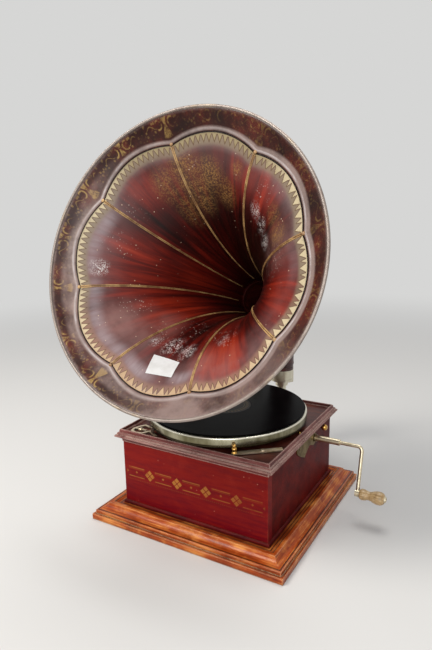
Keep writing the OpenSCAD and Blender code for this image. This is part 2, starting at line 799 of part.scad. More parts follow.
// Point beside the turntable's edge, seen from the brake's pivot
function by_edge(out, a) = [spindle_x + (brake_r + out) * cos(a) - brake_x,
    spindle_y + (brake_r + out) * sin(a) - brake_y];

// Flat hairpin strip that carries the brake pad to the turntable's edge
module brake_lever() {
    color([0.55, 0.45, 0.35]) translate([brake_x, brake_y, brake_z]) {
        linear_extrude(height = brake_t) polygon(ribbon([by_edge(2, brake_a + 6),
            by_edge(3.4, brake_a - 4), [11, -12], [0.5, -14], [-9, -10.5], [-11.5, -1],
            [-7.5, 8.5], [-3, 16], [6, 13.5], [15, 16.5]], 3.6));
        cylinder(r = 4, h = brake_t);
        translate([-11, -1.6, 0]) cube([22, 3.2, brake_t]);
        translate([0, 0, brake_t]) screw_head(3.4, 1.4);
        translate([0, 0, -1]) cylinder(r = 4, h = 1);
    }
}

module brake_pad() {
    color([0.25, 0.15, 0.1]) translate([spindle_x, spindle_y, brake_z + brake_t])
        rotate([0, 0, brake_a]) translate([brake_r, -4, 0]) cube([3, 8, 6.4]);
}

// Turntable

module platter() {
    r = platter_r;
    t = platter_z;
    s = skirt_h;
    color([0.72, 0.7, 0.64]) translate([spindle_x, spindle_y, 0]) difference() {
        rotate_extrude() polygon([[0, t], [r - 1.4, t], [r - 0.4, t - 0.5], [r, t - 1.5],
            [r, t - rim_h], [r - 1.3, t - rim_h - 0.2], [r - 1.3, t - rim_h - 1],
            [r - 0.6, t - rim_h - 1.4], [r - 0.6, t - s + 0.5], [r - 1.2, t - s],
            [r - 3, t - s], [r - 3, t - 6], [r - 8, t - skirt_t], [hub_r + 3, t - skirt_t],
            [hub_r, t - 5], [hub_r, t - hub_h], [0, t - hub_h]]);
        translate([0, 0, t - seat_h])
            cylinder(r1 = shank_r + press, r2 = spindle_r + press, h = seat_h);
        translate([0, 0, t - hub_h - 1]) cylinder(r = shank_r + press, h = hub_h + 1.01 - seat_h);
        translate([0, 0, t - 1]) cylinder(r = spindle_r + press, h = 2);
    }
}

module platter_mat() {
    color([0.12, 0.2, 0.12]) translate([spindle_x, spindle_y, platter_z])
        ring(mat_r, shank_r, mat_t);
}

module record() {
    r = record_r;
    t = record_t;
    color([0.05, 0.05, 0.05]) translate([spindle_x, spindle_y, platter_z + mat_t]) difference() {
        rotate_extrude() polygon([[0, 0], [r - 0.5, 0], [r, 0.5], [r, t - 0.5], [r - 0.5, t],
            [label_r + 0.2, t], [label_r + 0.2, t - label_t], [0, t - label_t]]);
        translate([0, 0, -1]) cylinder(r = spindle_r + 0.1, h = t + 2);
    }
}

module record_label() {
    color([0.5, 0.1, 0.08]) translate([spindle_x, spindle_y, record_z - label_t])
        ring(label_r, spindle_r + 0.1, label_t);
}

module at_bracket_screws() {
    for (x = [-20, 20]) for (z = [-18, 24])
        translate([x, body_r, bracket_z + z]) rotate([-90, 0, 0]) children();
}

// Back bracket: plate, curved arm, sector web and the ring that carries the horn
module arm_bracket() {
    curve_z = deck_z + 2;
    curve_r = curve_z - bracket_z;
    foot_y = pole_y - curve_r;
    web_in = cup_r + 2.4;
    web_out = cup_r + 7;
    shoulder = web_in - 5;
    color([0.7, 0.68, 0.62]) difference() {
        union() {
            translate([-28, body_r, bracket_z - 26]) cube([56, bracket_t, 58]);
            translate([0, body_r, bracket_z]) rotate([-90, 0, 0])
                cylinder(r1 = 15, r2 = 12, h = foot_y - body_r + 0.5);
            translate([0, foot_y, curve_z]) rotate([0, 90, 0])
                rotate_extrude(angle = 90) translate([curve_r, 0]) circle(r = 8.5);
            translate([0, pole_y, lug_z]) {
                cylinder(r = 12, h = 8);
                cylinder(r = 8, h = cup_z - 0.3 - lug_z);
            }
            translate([0, pole_y, 0]) rotate([0, 0, 60]) rotate_extrude(angle = 60) polygon([
                [pin_r + 1, lug_z + 0.5], [web_out, lug_z + 0.5], [web_out, ring_top - 0.3],
                [shoulder, ring_top - 0.3], [shoulder, ring_z + 0.3], [web_in, ring_z + 0.3],
                [web_in, lug_z + 6], [pin_r + 1, lug_z + 6]]);
            translate([0, pole_y, ring_z]) {
                cylinder(r = cup_r + 0.8, h = ring_top - ring_z);
                cylinder(r = elbow_foot_r - 1.9, h = spigot_top - ring_z);
            }
        }
        translate([0, pole_y, ring_z - 1]) cylinder(r = elbow_foot_r - 4.4, h = 30);
        translate([0, pole_y, lug_z - 4]) cylinder(r = pin_r + press, h = cup_z + 4 - lug_z);
        at_bracket_screws() translate([0, 0, -1]) cylinder(r = screw_r, h = bracket_t + 3);
    }
}

module bracket_screws() {
    color([0.7, 0.6, 0.35]) at_bracket_screws() {
        translate([0, 0, bracket_t + press]) screw_head(2 * screw_r, 2.2);
        translate([0, 0, 0.1]) cylinder(r = screw_r - 0.1, h = bracket_t);
    }
}

// Pin through the bracket's lug on which the sound arm turns
module arm_pivot() {
    color([0.7, 0.7, 0.68]) translate([0, pole_y, 0]) {
        translate([0, 0, lug_z - 3.8]) cylinder(r = pin_r, h = cup_z + cup_wall + 4.1 - lug_z);
        translate([0, 0, cup_z + cup_wall + 0.3]) cylinder(r = 6.5, h = 2.6);
    }
}

// Post inside the deck's rear edge, where the parked arm passes over it
module arm_rest() {
    top = arm_z1 - arm_end_r - 0.6;
    y = recess_r - 4.5;
    x = -(pole_y - y) * tan(park_angle);
    color([0.7, 0.68, 0.62]) translate([x, y, 0]) {
        translate([0, 0, deck_z]) cylinder(r1 = 3.4, r2 = 2.2, h = 4);
        translate([0, 0, deck_z + 3.9]) cylinder(r = 1.8, h = top - deck_z - 6.4);
        translate([0, 0, top - 2.6]) cylinder(r1 = 1.8, r2 = 3.4, h = 2.6);
    }
}

// Sound arm, drawn pointing to the front and then turned to its rest

module parked() {
    translate([0, pole_y, 0]) rotate([0, 0, -park_angle]) children();
}

module arm_cup() {
    color([0.74, 0.72, 0.66]) parked() difference() {
        union() {
            translate([0, 0, cup_z]) cylinder(r = cup_r - cup_flange, h = cup_h);
            translate([0, 0, cup_z]) cylinder(r = cup_r, h = 3.4);
            translate([0, 0, cup_top - 3.4]) cylinder(r = cup_r, h = 3.4);
        }
        translate([0, 0, cup_z + cup_wall]) cylinder(r = cup_r - cup_flange - cup_side, h = cup_h);
        translate([0, 0, cup_z - 1]) cylinder(r = pin_r + run_gap, h = cup_wall + 2);
        translate([0, 0, arm_z0]) rotate([90, 0, 0]) cylinder(r = arm_r - tube_wall, h = cup_r + 2);
    }
}

module tube(r, l) {
    linear_extrude(height = l) difference() {
        circle(r = r);
        circle(r = r - tube_wall);
    }
}

// Quarter bend of a tube, from the x axis round to the y axis
module tube_bend(r, bend) {
    rotate_extrude(angle = 90) translate([bend, 0]) difference() {
        circle(r = r);
        circle(r = r - tube_wall);
    }
}

module arm_tube() {
    l = arm_l - goose_gap - sweep_end;
    collar = arm_end_r + 1.4;
    color([0.74, 0.72, 0.66]) parked() {
        difference() {
            translate([0, -16, arm_z0]) rotate([90, 0, 0]) tube(arm_r, sweep_start - 16);
            translate([0, 0, cup_z - 1]) cylinder(r = cup_r + 2 * press, h = cup_h + 2);
        }
        translate([0, -sweep_start, arm_z0 + sweep_r]) rotate([0, 90, 180])
            tube_bend(arm_r, sweep_r);
        translate([0, -sweep_start - sweep_r, arm_z0 + sweep_r]) tube(arm_r, sweep_l);
        translate([0, -sweep_end, arm_z1 - sweep_r]) rotate([0, -90, 0])
            tube_bend(arm_r, sweep_r);
        translate([0, -sweep_end, arm_z1]) rotate([90, 0, 0]) rotate_extrude() polygon([
            [arm_r - tube_wall, 0], [arm_r, 0], [arm_end_r, l - 5], [collar, l - 5], [collar, l],
            [arm_end_r - tube_wall, l]]);
    }
}

// Bent end of the arm that turns about the arm tube
module gooseneck() {
    color([0.76, 0.74, 0.68]) parked() translate([0, 0, arm_z1]) {
        translate([0, -arm_l, 0]) rotate([90, 0, 0]) rotate_extrude() polygon([
            [goose_tube_r - tube_wall, 0], [goose_tube_r + 1.2, 0], [goose_tube_r + 1.2, 1.2],
            [goose_tube_r, goose_l], [goose_tube_r - tube_wall, goose_l]]);
        translate([goose_r, -arm_l - goose_l, 0]) rotate([0, 0, 180])
            tube_bend(goose_tube_r, goose_r);
        translate([goose_r, soundbox_y, 0]) rotate([0, 90, 0])
            tube(goose_tube_r, soundbox_in - goose_r - 0.1);
    }
}

module at_soundbox() {
    parked() translate([soundbox_in, soundbox_y, arm_z1]) rotate([0, 90, 0])
        rotate([0, 0, -stylus_lean]) children();
}

module soundbox_case() {
    r = soundbox_r;
    t = soundbox_t;
    color([0.76, 0.74, 0.7]) at_soundbox() difference() {
        rotate_extrude() polygon([[0, 0], [r * 0.4, 0], [r * 0.62, 1.6], [r - 2.2, 2.4], [r, 4.4],
            [r, t - 3], [r - 1, t - 2], [r - 1, t], [r - 5, t], [0, t]]);
        translate([0, 0, 3.4]) cylinder(r = r - 3, h = t - 6.4);
        translate([0, 0, t - 4]) cylinder(r = r - 5.2, h = 6);
        translate([0, 0, -1]) cylinder(r = goose_tube_r - tube_wall, h = 8);
    }
}

module diaphragm() {
    color([0.85, 0.82, 0.7]) at_soundbox() translate([0, 0, soundbox_t - 4.6])
        cylinder(r = soundbox_r - 3.3, h = 1.5);
}

// Stylus bar from the diaphragm's middle to the needle clamp below the rim
module needle_bar() {
    color([0.7, 0.7, 0.68]) at_soundbox() difference() {
        union() {
            translate([0, 0, soundbox_t - 3.05]) cylinder(r = 1.4, h = 4.6);
            translate([-1, -1, bar_z - 0.9]) cube([clamp_at + 3, 2, 1.8]);
            translate([clamp_at - 1, 0, bar_z]) rotate([0, 90, 0]) cylinder(r = 2.6, h = 6);
        }
        translate([clamp_at, 0, bar_z]) rotate([0, 90, 0]) cylinder(r = needle_r + press, h = 9);
        translate([clamp_screw, 0, bar_z]) rotate([90, 0, 0]) cylinder(r = clamp_pin_r + run_gap, h = 6);
    }
}

module needle_screw() {
    color([0.7, 0.6, 0.35]) at_soundbox() translate([clamp_screw, 0, bar_z]) rotate([90, 0, 0]) {
        translate([0, 0, 1]) cylinder(r = clamp_pin_r, h = 3);
        translate([0, 0, 3]) cylinder(r = 2.6, h = 3.4);
    }
}

module needle() {
    shank = needle_reach - clamp_at - needle_point - 0.4;
    color([0.7, 0.7, 0.72]) at_soundbox() translate([clamp_at + 0.4, 0, bar_z]) rotate([0, 90, 0]) {
        cylinder(r = needle_r, h = shank);
        translate([0, 0, shank]) cylinder(r1 = needle_r, r2 = 0.1, h = needle_point);
    }
}

// Horn

module horn_stand() {
    translate([0, pole_y, 0]) rotate([0, 0, horn_turn]) children();
}

// Frame of the mouth: origin at its centre, +Z out along the horn's axis
module horn_mouth() {
    horn_stand() translate([0, -horn_reach, horn_z]) rotate([90 - horn_tilt, 0, 0]) children();
}

module horn_foot() {
    color([0.42, 0.2, 0.12]) horn_stand() translate([0, 0, foot_z])
        ring(elbow_foot_r + sheet_t, elbow_foot_r - 1.6, foot_top - foot_z);
}

function elbow_ring(j, extra) =
    let (u = j / (elbow_rings - 1), a = u * (90 - horn_tilt),
        r = elbow_foot_r + (elbow_end_r - elbow_foot_r) * u + extra)
    [for (i = [0:elbow_sides - 1]) let (b = 360 * i / elbow_sides)
        [r * cos(b), -elbow_r * (1 - cos(a)) + r * sin(b) * cos(a),
            foot_top + elbow_r * sin(a) + r * sin(b) * sin(a)]];

module horn_elbow() {
    color([0.45, 0.2, 0.12]) horn_stand() skin(
        [for (j = [0:elbow_rings - 1]) elbow_ring(j, sheet_t)],
        [for (j = [0:elbow_rings - 1]) elbow_ring(j, 0)]);
}

module horn_band() {
    color([0.72, 0.6, 0.38]) horn_mouth() translate([0, 0, -bell_depth - 6]) difference() {
        cylinder(r = throat_r + sheet_t + 2, h = 12);
        translate([0, 0, -1]) cylinder(r = throat_r + sheet_t + 0.3, h = 14);
    }
}

// The seam line flares from the neck (s = 0) to the petal edge (s = 1)
flare_l = bell_depth - neck_l - cusp_depth;
bez_d = [bell_depth - neck_l, cusp_depth + flare_near * flare_l, cusp_depth + flare_far * flare_l,
    cusp_depth];
bez_r = [throat_r, flare_r1, flare_r2, cusp_r];
function bez(p, s) = pow(1 - s, 3) * p[0] + 3 * s * pow(1 - s, 2) * p[1]
    + 3 * s * s * (1 - s) * p[2] + pow(s, 3) * p[3];
function slope(p, s) = 3 * pow(1 - s, 2) * (p[1] - p[0]) + 6 * s * (1 - s) * (p[2] - p[1])
    + 3 * s * s * (p[3] - p[2]);
function petal(i) = let (t = 2 * ((i * petals / bell_sides) % 1) - 1)
    1 - pow(abs(t), petal_power);

// One ring of the bell: s along the flare, extra pushes it out through the sheet
function bell_ring(s, extra) =
    let (q = max(s, 0), dd = slope(bez_d, q), dr = slope(bez_r, q), l = norm([dd, dr]),
        d = s < 0 ? bell_depth : bez(bez_d, q), r = s < 0 ? elbow_end_r : bez(bez_r, q))
    [for (i = [0:bell_sides - 1])
        let (a = petal_phase + 360 * i / bell_sides, f = petal(i),
            rr = r * (1 + petal_swell * f * pow(q, 0.8)) - extra * dd / l,
            z = -(d - petal_dish * f * pow(q, 4) + extra * dr / l))
        [rr * cos(a), rr * sin(a), z]];

module horn_bell() {
    steps = concat([-1], [for (j = [0:bell_rings - 2]) j / (bell_rings - 2)]);
    color([0.5, 0.2, 0.1]) horn_mouth() skin(
        [for (s = steps) bell_ring(s, sheet_t)],
        [for (s = steps) bell_ring(s, 0)]);
}

// Raised folded seams along the lines where the petals meet
module horn_seams() {
    color([0.85, 0.72, 0.5]) horn_mouth() for (k = [0:petals - 1])
        rotate([0, 0, petal_phase + k * 360 / petals]) skin([for (j = [0:bell_rings - 2])
            let (s = 0.02 + 0.975 * j / (bell_rings - 2), dd = slope(bez_d, s), dr = slope(bez_r, s),
                l = norm([dd, dr]), d = bez(bez_d, s), r = bez(bez_r, s),
                nr = -dd / l, nd = dr / l, w = 1.2 + 1.5 * s, e = 0.85 * sheet_t)
            [[r + e * nr, -w * 1.2, -(d + e * nd)], [r + e * nr, w * 1.2, -(d + e * nd)],
                [r - seam_h * nr, w * 0.7, -(d - seam_h * nd)],
                [r - seam_h * nr, -w * 0.7, -(d - seam_h * nd)]]]);
}

// Smooth outer band beyond the scalloped petal edge
module horn_rim() {
    pr = [cusp_r, cusp_r + 12.8, horn_r - 13, rim_outer];
    pd = [cusp_depth, 18.8, 8, bead_r + 0.4];
    steps = [for (j = [-1:12]) j / 12];
    color([0.4, 0.18, 0.14]) horn_mouth() difference() {
        rotate_extrude() polygon(concat(
            [for (s = steps) [bez(pr, s), -bez(pd, s)]],
            [for (j = [len(steps) - 1:-1:0]) [bez(pr, steps[j]), -bez(pd, steps[j]) - sheet_t]]));
        translate([0, 0, -cusp_depth - 20]) linear_extrude(height = cusp_depth + 30)
            polygon([for (p = bell_ring(1, 0)) [p[0], p[1]] * (1 + (crease + 0.6) / cusp_r)]);
    }
}

module horn_bead() {
    color([0.8, 0.7, 0.6]) horn_mouth() translate([0, 0, -bead_r])
        rotate_extrude() translate([horn_r - bead_r, 0]) circle(r = bead_r);
}

plinth();
bottom_board();
base_rail();
front_panel();
back_panel();
left_panel();
right_panel();
foot_bead();
top_moulding();
motor_board();
board_screws();
crank_plate();
side_knob();
motor_plates();
motor_pillars();
shaft_bearings();
arm_bracket();
bracket_screws();
arm_pivot();
arm_rest();
speed_lever();
speed_knob();
governor_arm();
brake_lever();
brake_pad();
platter();
platter_mat();
record();
record_label();
spindle();
governor_wheel();
middle_arbor();
middle_wheel();
spring_barrel();
barrel_wheel();
mainspring();
winding_arbor();
crown_wheel();
winding_shaft();
crank_sleeve();
crank_rod();
crank_handle();
handle_cap();
governor_shaft();
governor_weights();
friction_disc();
arm_cup();
arm_tube();
gooseneck();
soundbox_case();
diaphragm();
needle_bar();
needle_screw();
needle();
horn_foot();
horn_elbow();
horn_band();
horn_bell();
horn_seams();
horn_rim();
horn_bead();
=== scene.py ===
import json
import math

import bpy
from mathutils import Matrix, Vector


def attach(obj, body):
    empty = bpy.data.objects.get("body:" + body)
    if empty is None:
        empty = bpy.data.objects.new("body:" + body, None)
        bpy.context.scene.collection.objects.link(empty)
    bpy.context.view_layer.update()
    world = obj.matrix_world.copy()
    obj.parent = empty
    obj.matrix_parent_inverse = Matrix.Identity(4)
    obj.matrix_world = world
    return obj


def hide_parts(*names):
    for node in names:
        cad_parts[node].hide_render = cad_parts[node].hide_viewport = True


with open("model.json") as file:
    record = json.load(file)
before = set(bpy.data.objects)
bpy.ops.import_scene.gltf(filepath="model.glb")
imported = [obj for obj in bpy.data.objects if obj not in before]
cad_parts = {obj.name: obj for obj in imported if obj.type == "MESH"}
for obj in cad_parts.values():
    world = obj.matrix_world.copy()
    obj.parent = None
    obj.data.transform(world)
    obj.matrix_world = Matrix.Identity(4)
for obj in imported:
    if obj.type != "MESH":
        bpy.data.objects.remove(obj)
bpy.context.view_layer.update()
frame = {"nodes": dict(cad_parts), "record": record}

MM = 0.001

# Sizes of the horn, in millimetres and degrees, as the construction has them. The curves are cubic:
# depth and radius along the flare, and depth and radius of the rim.
POLE_Y = 200.0
HORN_TURN = 2.45
HORN_REACH = 376.4
HORN_Z = 413.5
HORN_TILT = 18.56
HORN_R = 199.0
PETALS = 8
PHASE = 13.72
SHEET = 0.9
BEAD_R = 2.1
ELBOW_R = 152.718
ELBOW_FOOT_Z = 177.3
ELBOW_FOOT_R = 21.0
NECK_R = 30.6
BELL_DEPTH = 287.23
BEZ_D = (279.03, 133.70, 43.91, 23.05)
BEZ_R = (31.2, 44.2, 112.395, 162.205)
RIM_D = (23.05, 18.8, 8.0, 2.5)
RIM_R = (162.205, 175.0, 186.0, 194.7)
SWELL = 0.0572
DISH = 4.24

# Other sizes in millimetres: the spindle's place, the straight part of the platter's face, the stencil
# on the front, the teeth round the petals and the band on the rim
SPINDLE = (-6.0, -2.0)
PLATTER_FACE = 11.2
STENCIL_Z = 76.0
STENCIL_END = 118.0
HALF_STEP = 25.0
LOZENGE = 4.4
LOZENGE_OUT = 4.9
TOOTH_PITCH = 16.4
TEETH_PER_PETAL = 8
TEETH_START = 2.4
RIM_MIDDLE_R = 187.0
ORNAMENTS = 16
GROOVE_PITCH = 1.1
GROOVED = (52.0, 121.5)
LABEL_RAYS = (29.5, 34.8)
LABEL_RINGS = (27.5, 14.0)

# Ridge and crease of the rim: distance from the petal's edge, width and height
RIDGE = (3.2, 1.9, 1.0)
CREASE = (0.45, 0.4, 0.9)
RIM_GAP = 0.2
# Half width, half depth and height of the solder dots
DOT = (2.625, 2.5, 1.3)

# Distance between the petals' panels on the painted wood, in panels, so that no two share a streak
PANEL_STEP = 1.37

# Faces closer than this angle are smooth, edges above the other one are rounded
SMOOTH_BELOW = 32
ROUND_ABOVE = 38
WELD = 0.02

# Corners of the blank sticker on the mouth, and how far it lies off the petal
STICKER = (Vector((-38.9, -118.6)), Vector((1.6, -124.6)), Vector((3.2, -144.9)), Vector((-35.5, -144.0)))
STICKER_LIFT = 0.75

# Soft areas inside the horn, each (x, y, radius, strength), in millimetres on the mouth
RED_AREAS = (
    (-104, -2, 70, 0.16), (-90, 102, 40, 0.17), (-60, -56, 60, 0.2), (64, -112, 60, 0.3),
    (90, 102, 56, 0.2), (36, -84, 50, 0.13), (-52, 8, 50, 0.12), (132, -34, 62, 0.2),
    (-20, -112, 50, 0.1), (-40, 130, 50, 0.08), (-108, 24, 54, 0.19), (70, 120, 40, 0.12))
BLACK_AREAS = ((46, 46, 62, 0.13), (80, 20, 32, 0.08), (16, 84, 40, 0.1), (-20, -74, 30, 0.08))
# Grey dust with painted sheen on it, each (x, y, radius, strength)
DUST_SHEEN_AREAS = ((34, -118, 30, 0.3), (-62, -84, 40, 0.5), (-98, -76, 44, 0.7), (112, 30, 40, 0.35))
# Painted reflections of the light in a stripe along the edge, each (x, y, radius, strength)
SHEEN_AREAS = (
    (-138, -46, 34, 0.7), (-122, -74, 32, 0.8), (-104, -96, 32, 0.8), (-84, -118, 26, 0.7),
    (-46, -132, 40, 0.9), (14, -134, 26, 1.0), (-136, 54, 34, 0.8), (-152, 30, 36, 0.7),
    (-156, -4, 26, 0.6), (126, 92, 40, 0.2), (128, 8, 40, 0.3))
GOLD_AREAS = (
    (-24, 128, 34, 0.95), (8, 126, 28, 0.95), (-12, 108, 28, 0.85), (-56, 114, 28, 0.7),
    (28, 108, 22, 0.7), (-34, 94, 26, 0.55), (54, 126, 14, 0.7), (114, 46, 20, 0.85),
    (106, 70, 18, 0.5))
GREY_AREAS = (
    (-97, -52, 22, 0.8), (-123, -86, 12, 0.6), (48, -86, 26, 0.8), (22, -84, 20, 0.6),
    (-46, -84, 18, 0.5), (98, 118, 12, 0.9), (-124, 30, 26, 0.5), (-16, 140, 12, 0.5),
    (-104, 80, 22, 0.4), (104, 16, 30, 0.5), (-20, -76, 24, 0.6), (92, 96, 16, 0.7))
WHITE_AREAS = (
    (-142, -7, 16, 1.0), (-24, -105, 17, 0.95), (2, -110, 15, 0.9), (-48, -100, 10, 0.6),
    (74, 82, 12, 0.7), (80, 66, 13, 0.75), (83, 46, 13, 0.75), (44, -88, 12, 0.5))


# Shader helper: one object per material, each method adds a node and returns its output

def srgb(code):
    """Linear colour of a hex code."""
    v = [int(code[i:i + 2], 16) / 255 for i in (1, 3, 5)]
    return tuple(c / 12.92 if c <= 0.04045 else ((c + 0.055) / 1.055) ** 2.4 for c in v) + (1.0,)


class Shader:
    def __init__(self, name, group="materials", output="ShaderNodeOutputMaterial"):
        self.owner = getattr(bpy.data, group).new(name)
        self.owner.use_nodes = True
        self.tree = self.owner.node_tree
        self.tree.nodes.clear()
        self.out = self.tree.nodes.new(output)

    def put(self, socket, value):
        if isinstance(value, bpy.types.NodeSocket):
            self.tree.links.new(value, socket)
        elif isinstance(value, str):
            socket.default_value = srgb(value)
        else:
            socket.default_value = value

    def node(self, kind, inputs=(), **settings):
        n = self.tree.nodes.new(kind)
        for key, value in settings.items():
            setattr(n, key, value)
        for key, value in dict(inputs).items():
            self.put(n.inputs[key], value)
        return n

    def place(self):
        return self.node("ShaderNodeTexCoord").outputs["Object"]

    def uv(self, name):
        return self.node("ShaderNodeUVMap", uv_map=name).outputs[0]

    def split(self, vector):
        n = self.node("ShaderNodeSeparateXYZ", {0: vector})
        return n.outputs[0], n.outputs[1], n.outputs[2]

    def join(self, x, y, z=0.0):
        return self.node("ShaderNodeCombineXYZ", {0: x, 1: y, 2: z}).outputs[0]

    def scaled(self, vector, size):
        n = self.node("ShaderNodeMapping", {0: vector})
        n.inputs["Scale"].default_value = size
        return n.outputs[0]

    def noise(self, vector, scale, detail=4.0, rough=0.55, bend=0.0):
        return self.node("ShaderNodeTexNoise", {"Vector": vector, "Scale": scale, "Detail": detail,
                                                "Roughness": rough, "Distortion": bend}).outputs["Fac"]

    def cells(self, vector, scale):
        return self.node("ShaderNodeTexVoronoi", {"Vector": vector, "Scale": scale}).outputs["Distance"]

    def math(self, op, a, b=0.0, c=0.0):
        return self.node("ShaderNodeMath", {0: a, 1: b, 2: c}, operation=op).outputs[0]

    def times(self, a, b):
        return self.math("MULTIPLY", a, b)

    def plus(self, a, b):
        return self.math("ADD", a, b)

    def minus(self, a, b):
        return self.math("SUBTRACT", a, b)

    def most(self, a, b):
        return self.math("MAXIMUM", a, b)

    def least(self, a, b):
        return self.math("MINIMUM", a, b)

    def size(self, a):
        return self.math("ABSOLUTE", a)

    def far(self, a, b):
        """Distance of two numbers."""
        return self.size(self.minus(a, b))

    def step(self, value, low, high, to_low=0.0, to_high=1.0):
        """Smooth change from one level to the other between low and high."""
        n = self.node("ShaderNodeMapRange", {"Value": value, "From Min": low, "From Max": high,
                                             "To Min": to_low, "To Max": to_high})
        n.interpolation_type = "SMOOTHSTEP"
        return n.outputs[0]

    def ramp(self, value, *stops):
        n = self.node("ShaderNodeValToRGB", {0: value})
        e = n.color_ramp.elements
        while len(e) < len(stops):
            e.new(0.5)
        for item, (at, colour) in zip(e, stops):
            item.position = at
            item.color = srgb(colour)
        return n.outputs[0]

    def mix(self, fac, a, b):
        n = self.node("ShaderNodeMix", data_type="RGBA")
        self.put(n.inputs[0], fac)
        self.put(n.inputs[6], a)
        self.put(n.inputs[7], b)
        return n.outputs[2]

    def edges(self, radius, low, high):
        """1 on outer and inner edges, 0 on flat faces."""
        worn = self.node("ShaderNodeBevel", {"Radius": radius}, samples=4).outputs[0]
        flat = self.node("ShaderNodeNewGeometry").outputs["Normal"]
        dot = self.node("ShaderNodeVectorMath", {0: worn, 1: flat}, operation="DOT_PRODUCT").outputs["Value"]
        return self.step(self.minus(1.0, dot), low, high)

    def grooves(self, distance):
        """1 in the open, less in hollows."""
        return self.node("ShaderNodeAmbientOcclusion", {"Distance": distance}, samples=6).outputs["AO"]

    def bump(self, height, strength, distance):
        n = self.node("ShaderNodeBump", {"Height": height, "Strength": strength, "Distance": distance})
        return n.outputs[0]

    def finish(self, colour, rough=0.5, metal=0.0, normal=None, coat=0.0, coat_rough=0.1, **more):
        p = self.node("ShaderNodeBsdfPrincipled", {"Base Color": colour, "Roughness": rough,
                                                   "Metallic": metal})
        p.inputs["Coat Weight"].default_value = coat
        p.inputs["Coat Roughness"].default_value = coat_rough
        for key, value in more.items():
            p.inputs[key.replace("_", " ")].default_value = value
        if normal is not None:
            self.put(p.inputs["Normal"], normal)
        return self.show(p)

    def show(self, shader):
        """Link the last shader node to the output."""
        self.put(self.out.inputs[0], shader.outputs[0])
        return self.owner


# Materials

def wood(name, dark, mid, light, worn, rough=0.42, coat=0.15, wear=0.7, grain=1.0, mitred=False, soil_and_shade=0.6,
         lines=(), figure=0.3, corner=0.0018, gloss=0.2):
    """Stained wood: grain along each rail, painted shade in hollows, worn edges and chips. Lines are
    painted shade in grooves, each at a distance from the middle and a height, in millimetres."""
    s = Shader(name)
    at = s.place()
    x, y, z = s.split(at)
    if mitred:
        side = s.math("GREATER_THAN", s.size(x), s.size(y))
        along = s.node("ShaderNodeMix", {0: side, 4: at, 5: s.join(y, x, z)}, data_type="VECTOR").outputs[1]
    else:
        along = at
    streak = s.noise(s.scaled(along, (5, 90, 90)), 4 * grain, 5, 0.6, 0.4)
    broad = s.noise(s.scaled(along, (9, 16, 16)), 3, 3, 0.5)
    colour = s.ramp(s.plus(s.times(streak, 0.5), s.times(broad, 0.55)),
                    (0.36, dark), (0.52, mid), (0.68, light))
    fine = s.noise(s.scaled(along, (30, 700, 700)), 1.4, 3, 0.6)
    colour = s.mix(s.step(fine, 0.52, 0.74, 0, 0.35), colour, dark)
    stain = s.noise(at, 26, 5, 0.65)
    colour = s.mix(s.step(stain, 0.5, 0.72, 0, figure), colour, light)
    # painted shade in hollows, drawn from ambient occlusion
    open_air = s.grooves(0.007)
    colour = s.mix(s.step(open_air, 0.4, 0.95, soil_and_shade, 0.0), colour, "#160806")
    # painted shade: dark lines along the inner corners of the grooves
    for out, level in lines:
        from_middle = s.times(s.most(s.size(x), s.size(y)), 1000)
        d = s.most(s.far(from_middle, out), s.far(s.times(z, 1000), level))
        colour = s.mix(s.step(d, 1.5, 0.5, 0.0, 0.85), colour, "#240b05")
    rub = s.times(s.edges(corner, 0.01, 0.14), s.step(s.noise(at, 50, 6, 0.7), 0.28, 0.5))
    chips = s.step(s.cells(at, 240), 0.1, 0.16, 1.0, 0.0)
    chips = s.times(chips, s.step(s.noise(at, 34, 3), 0.56, 0.66))
    rub = s.most(rub, s.times(chips, 0.6))
    colour = s.mix(s.times(rub, wear), colour, worn)
    normal = s.bump(s.plus(streak, s.times(stain, 0.5)), 0.12, 0.0006)
    shine = s.plus(s.times(stain, 0.22), rough - 0.1)
    shine = s.plus(shine, s.times(rub, 0.25))
    return s.finish(colour, shine, 0.0, normal, coat, 0.22, Specular_IOR_Level=gloss)


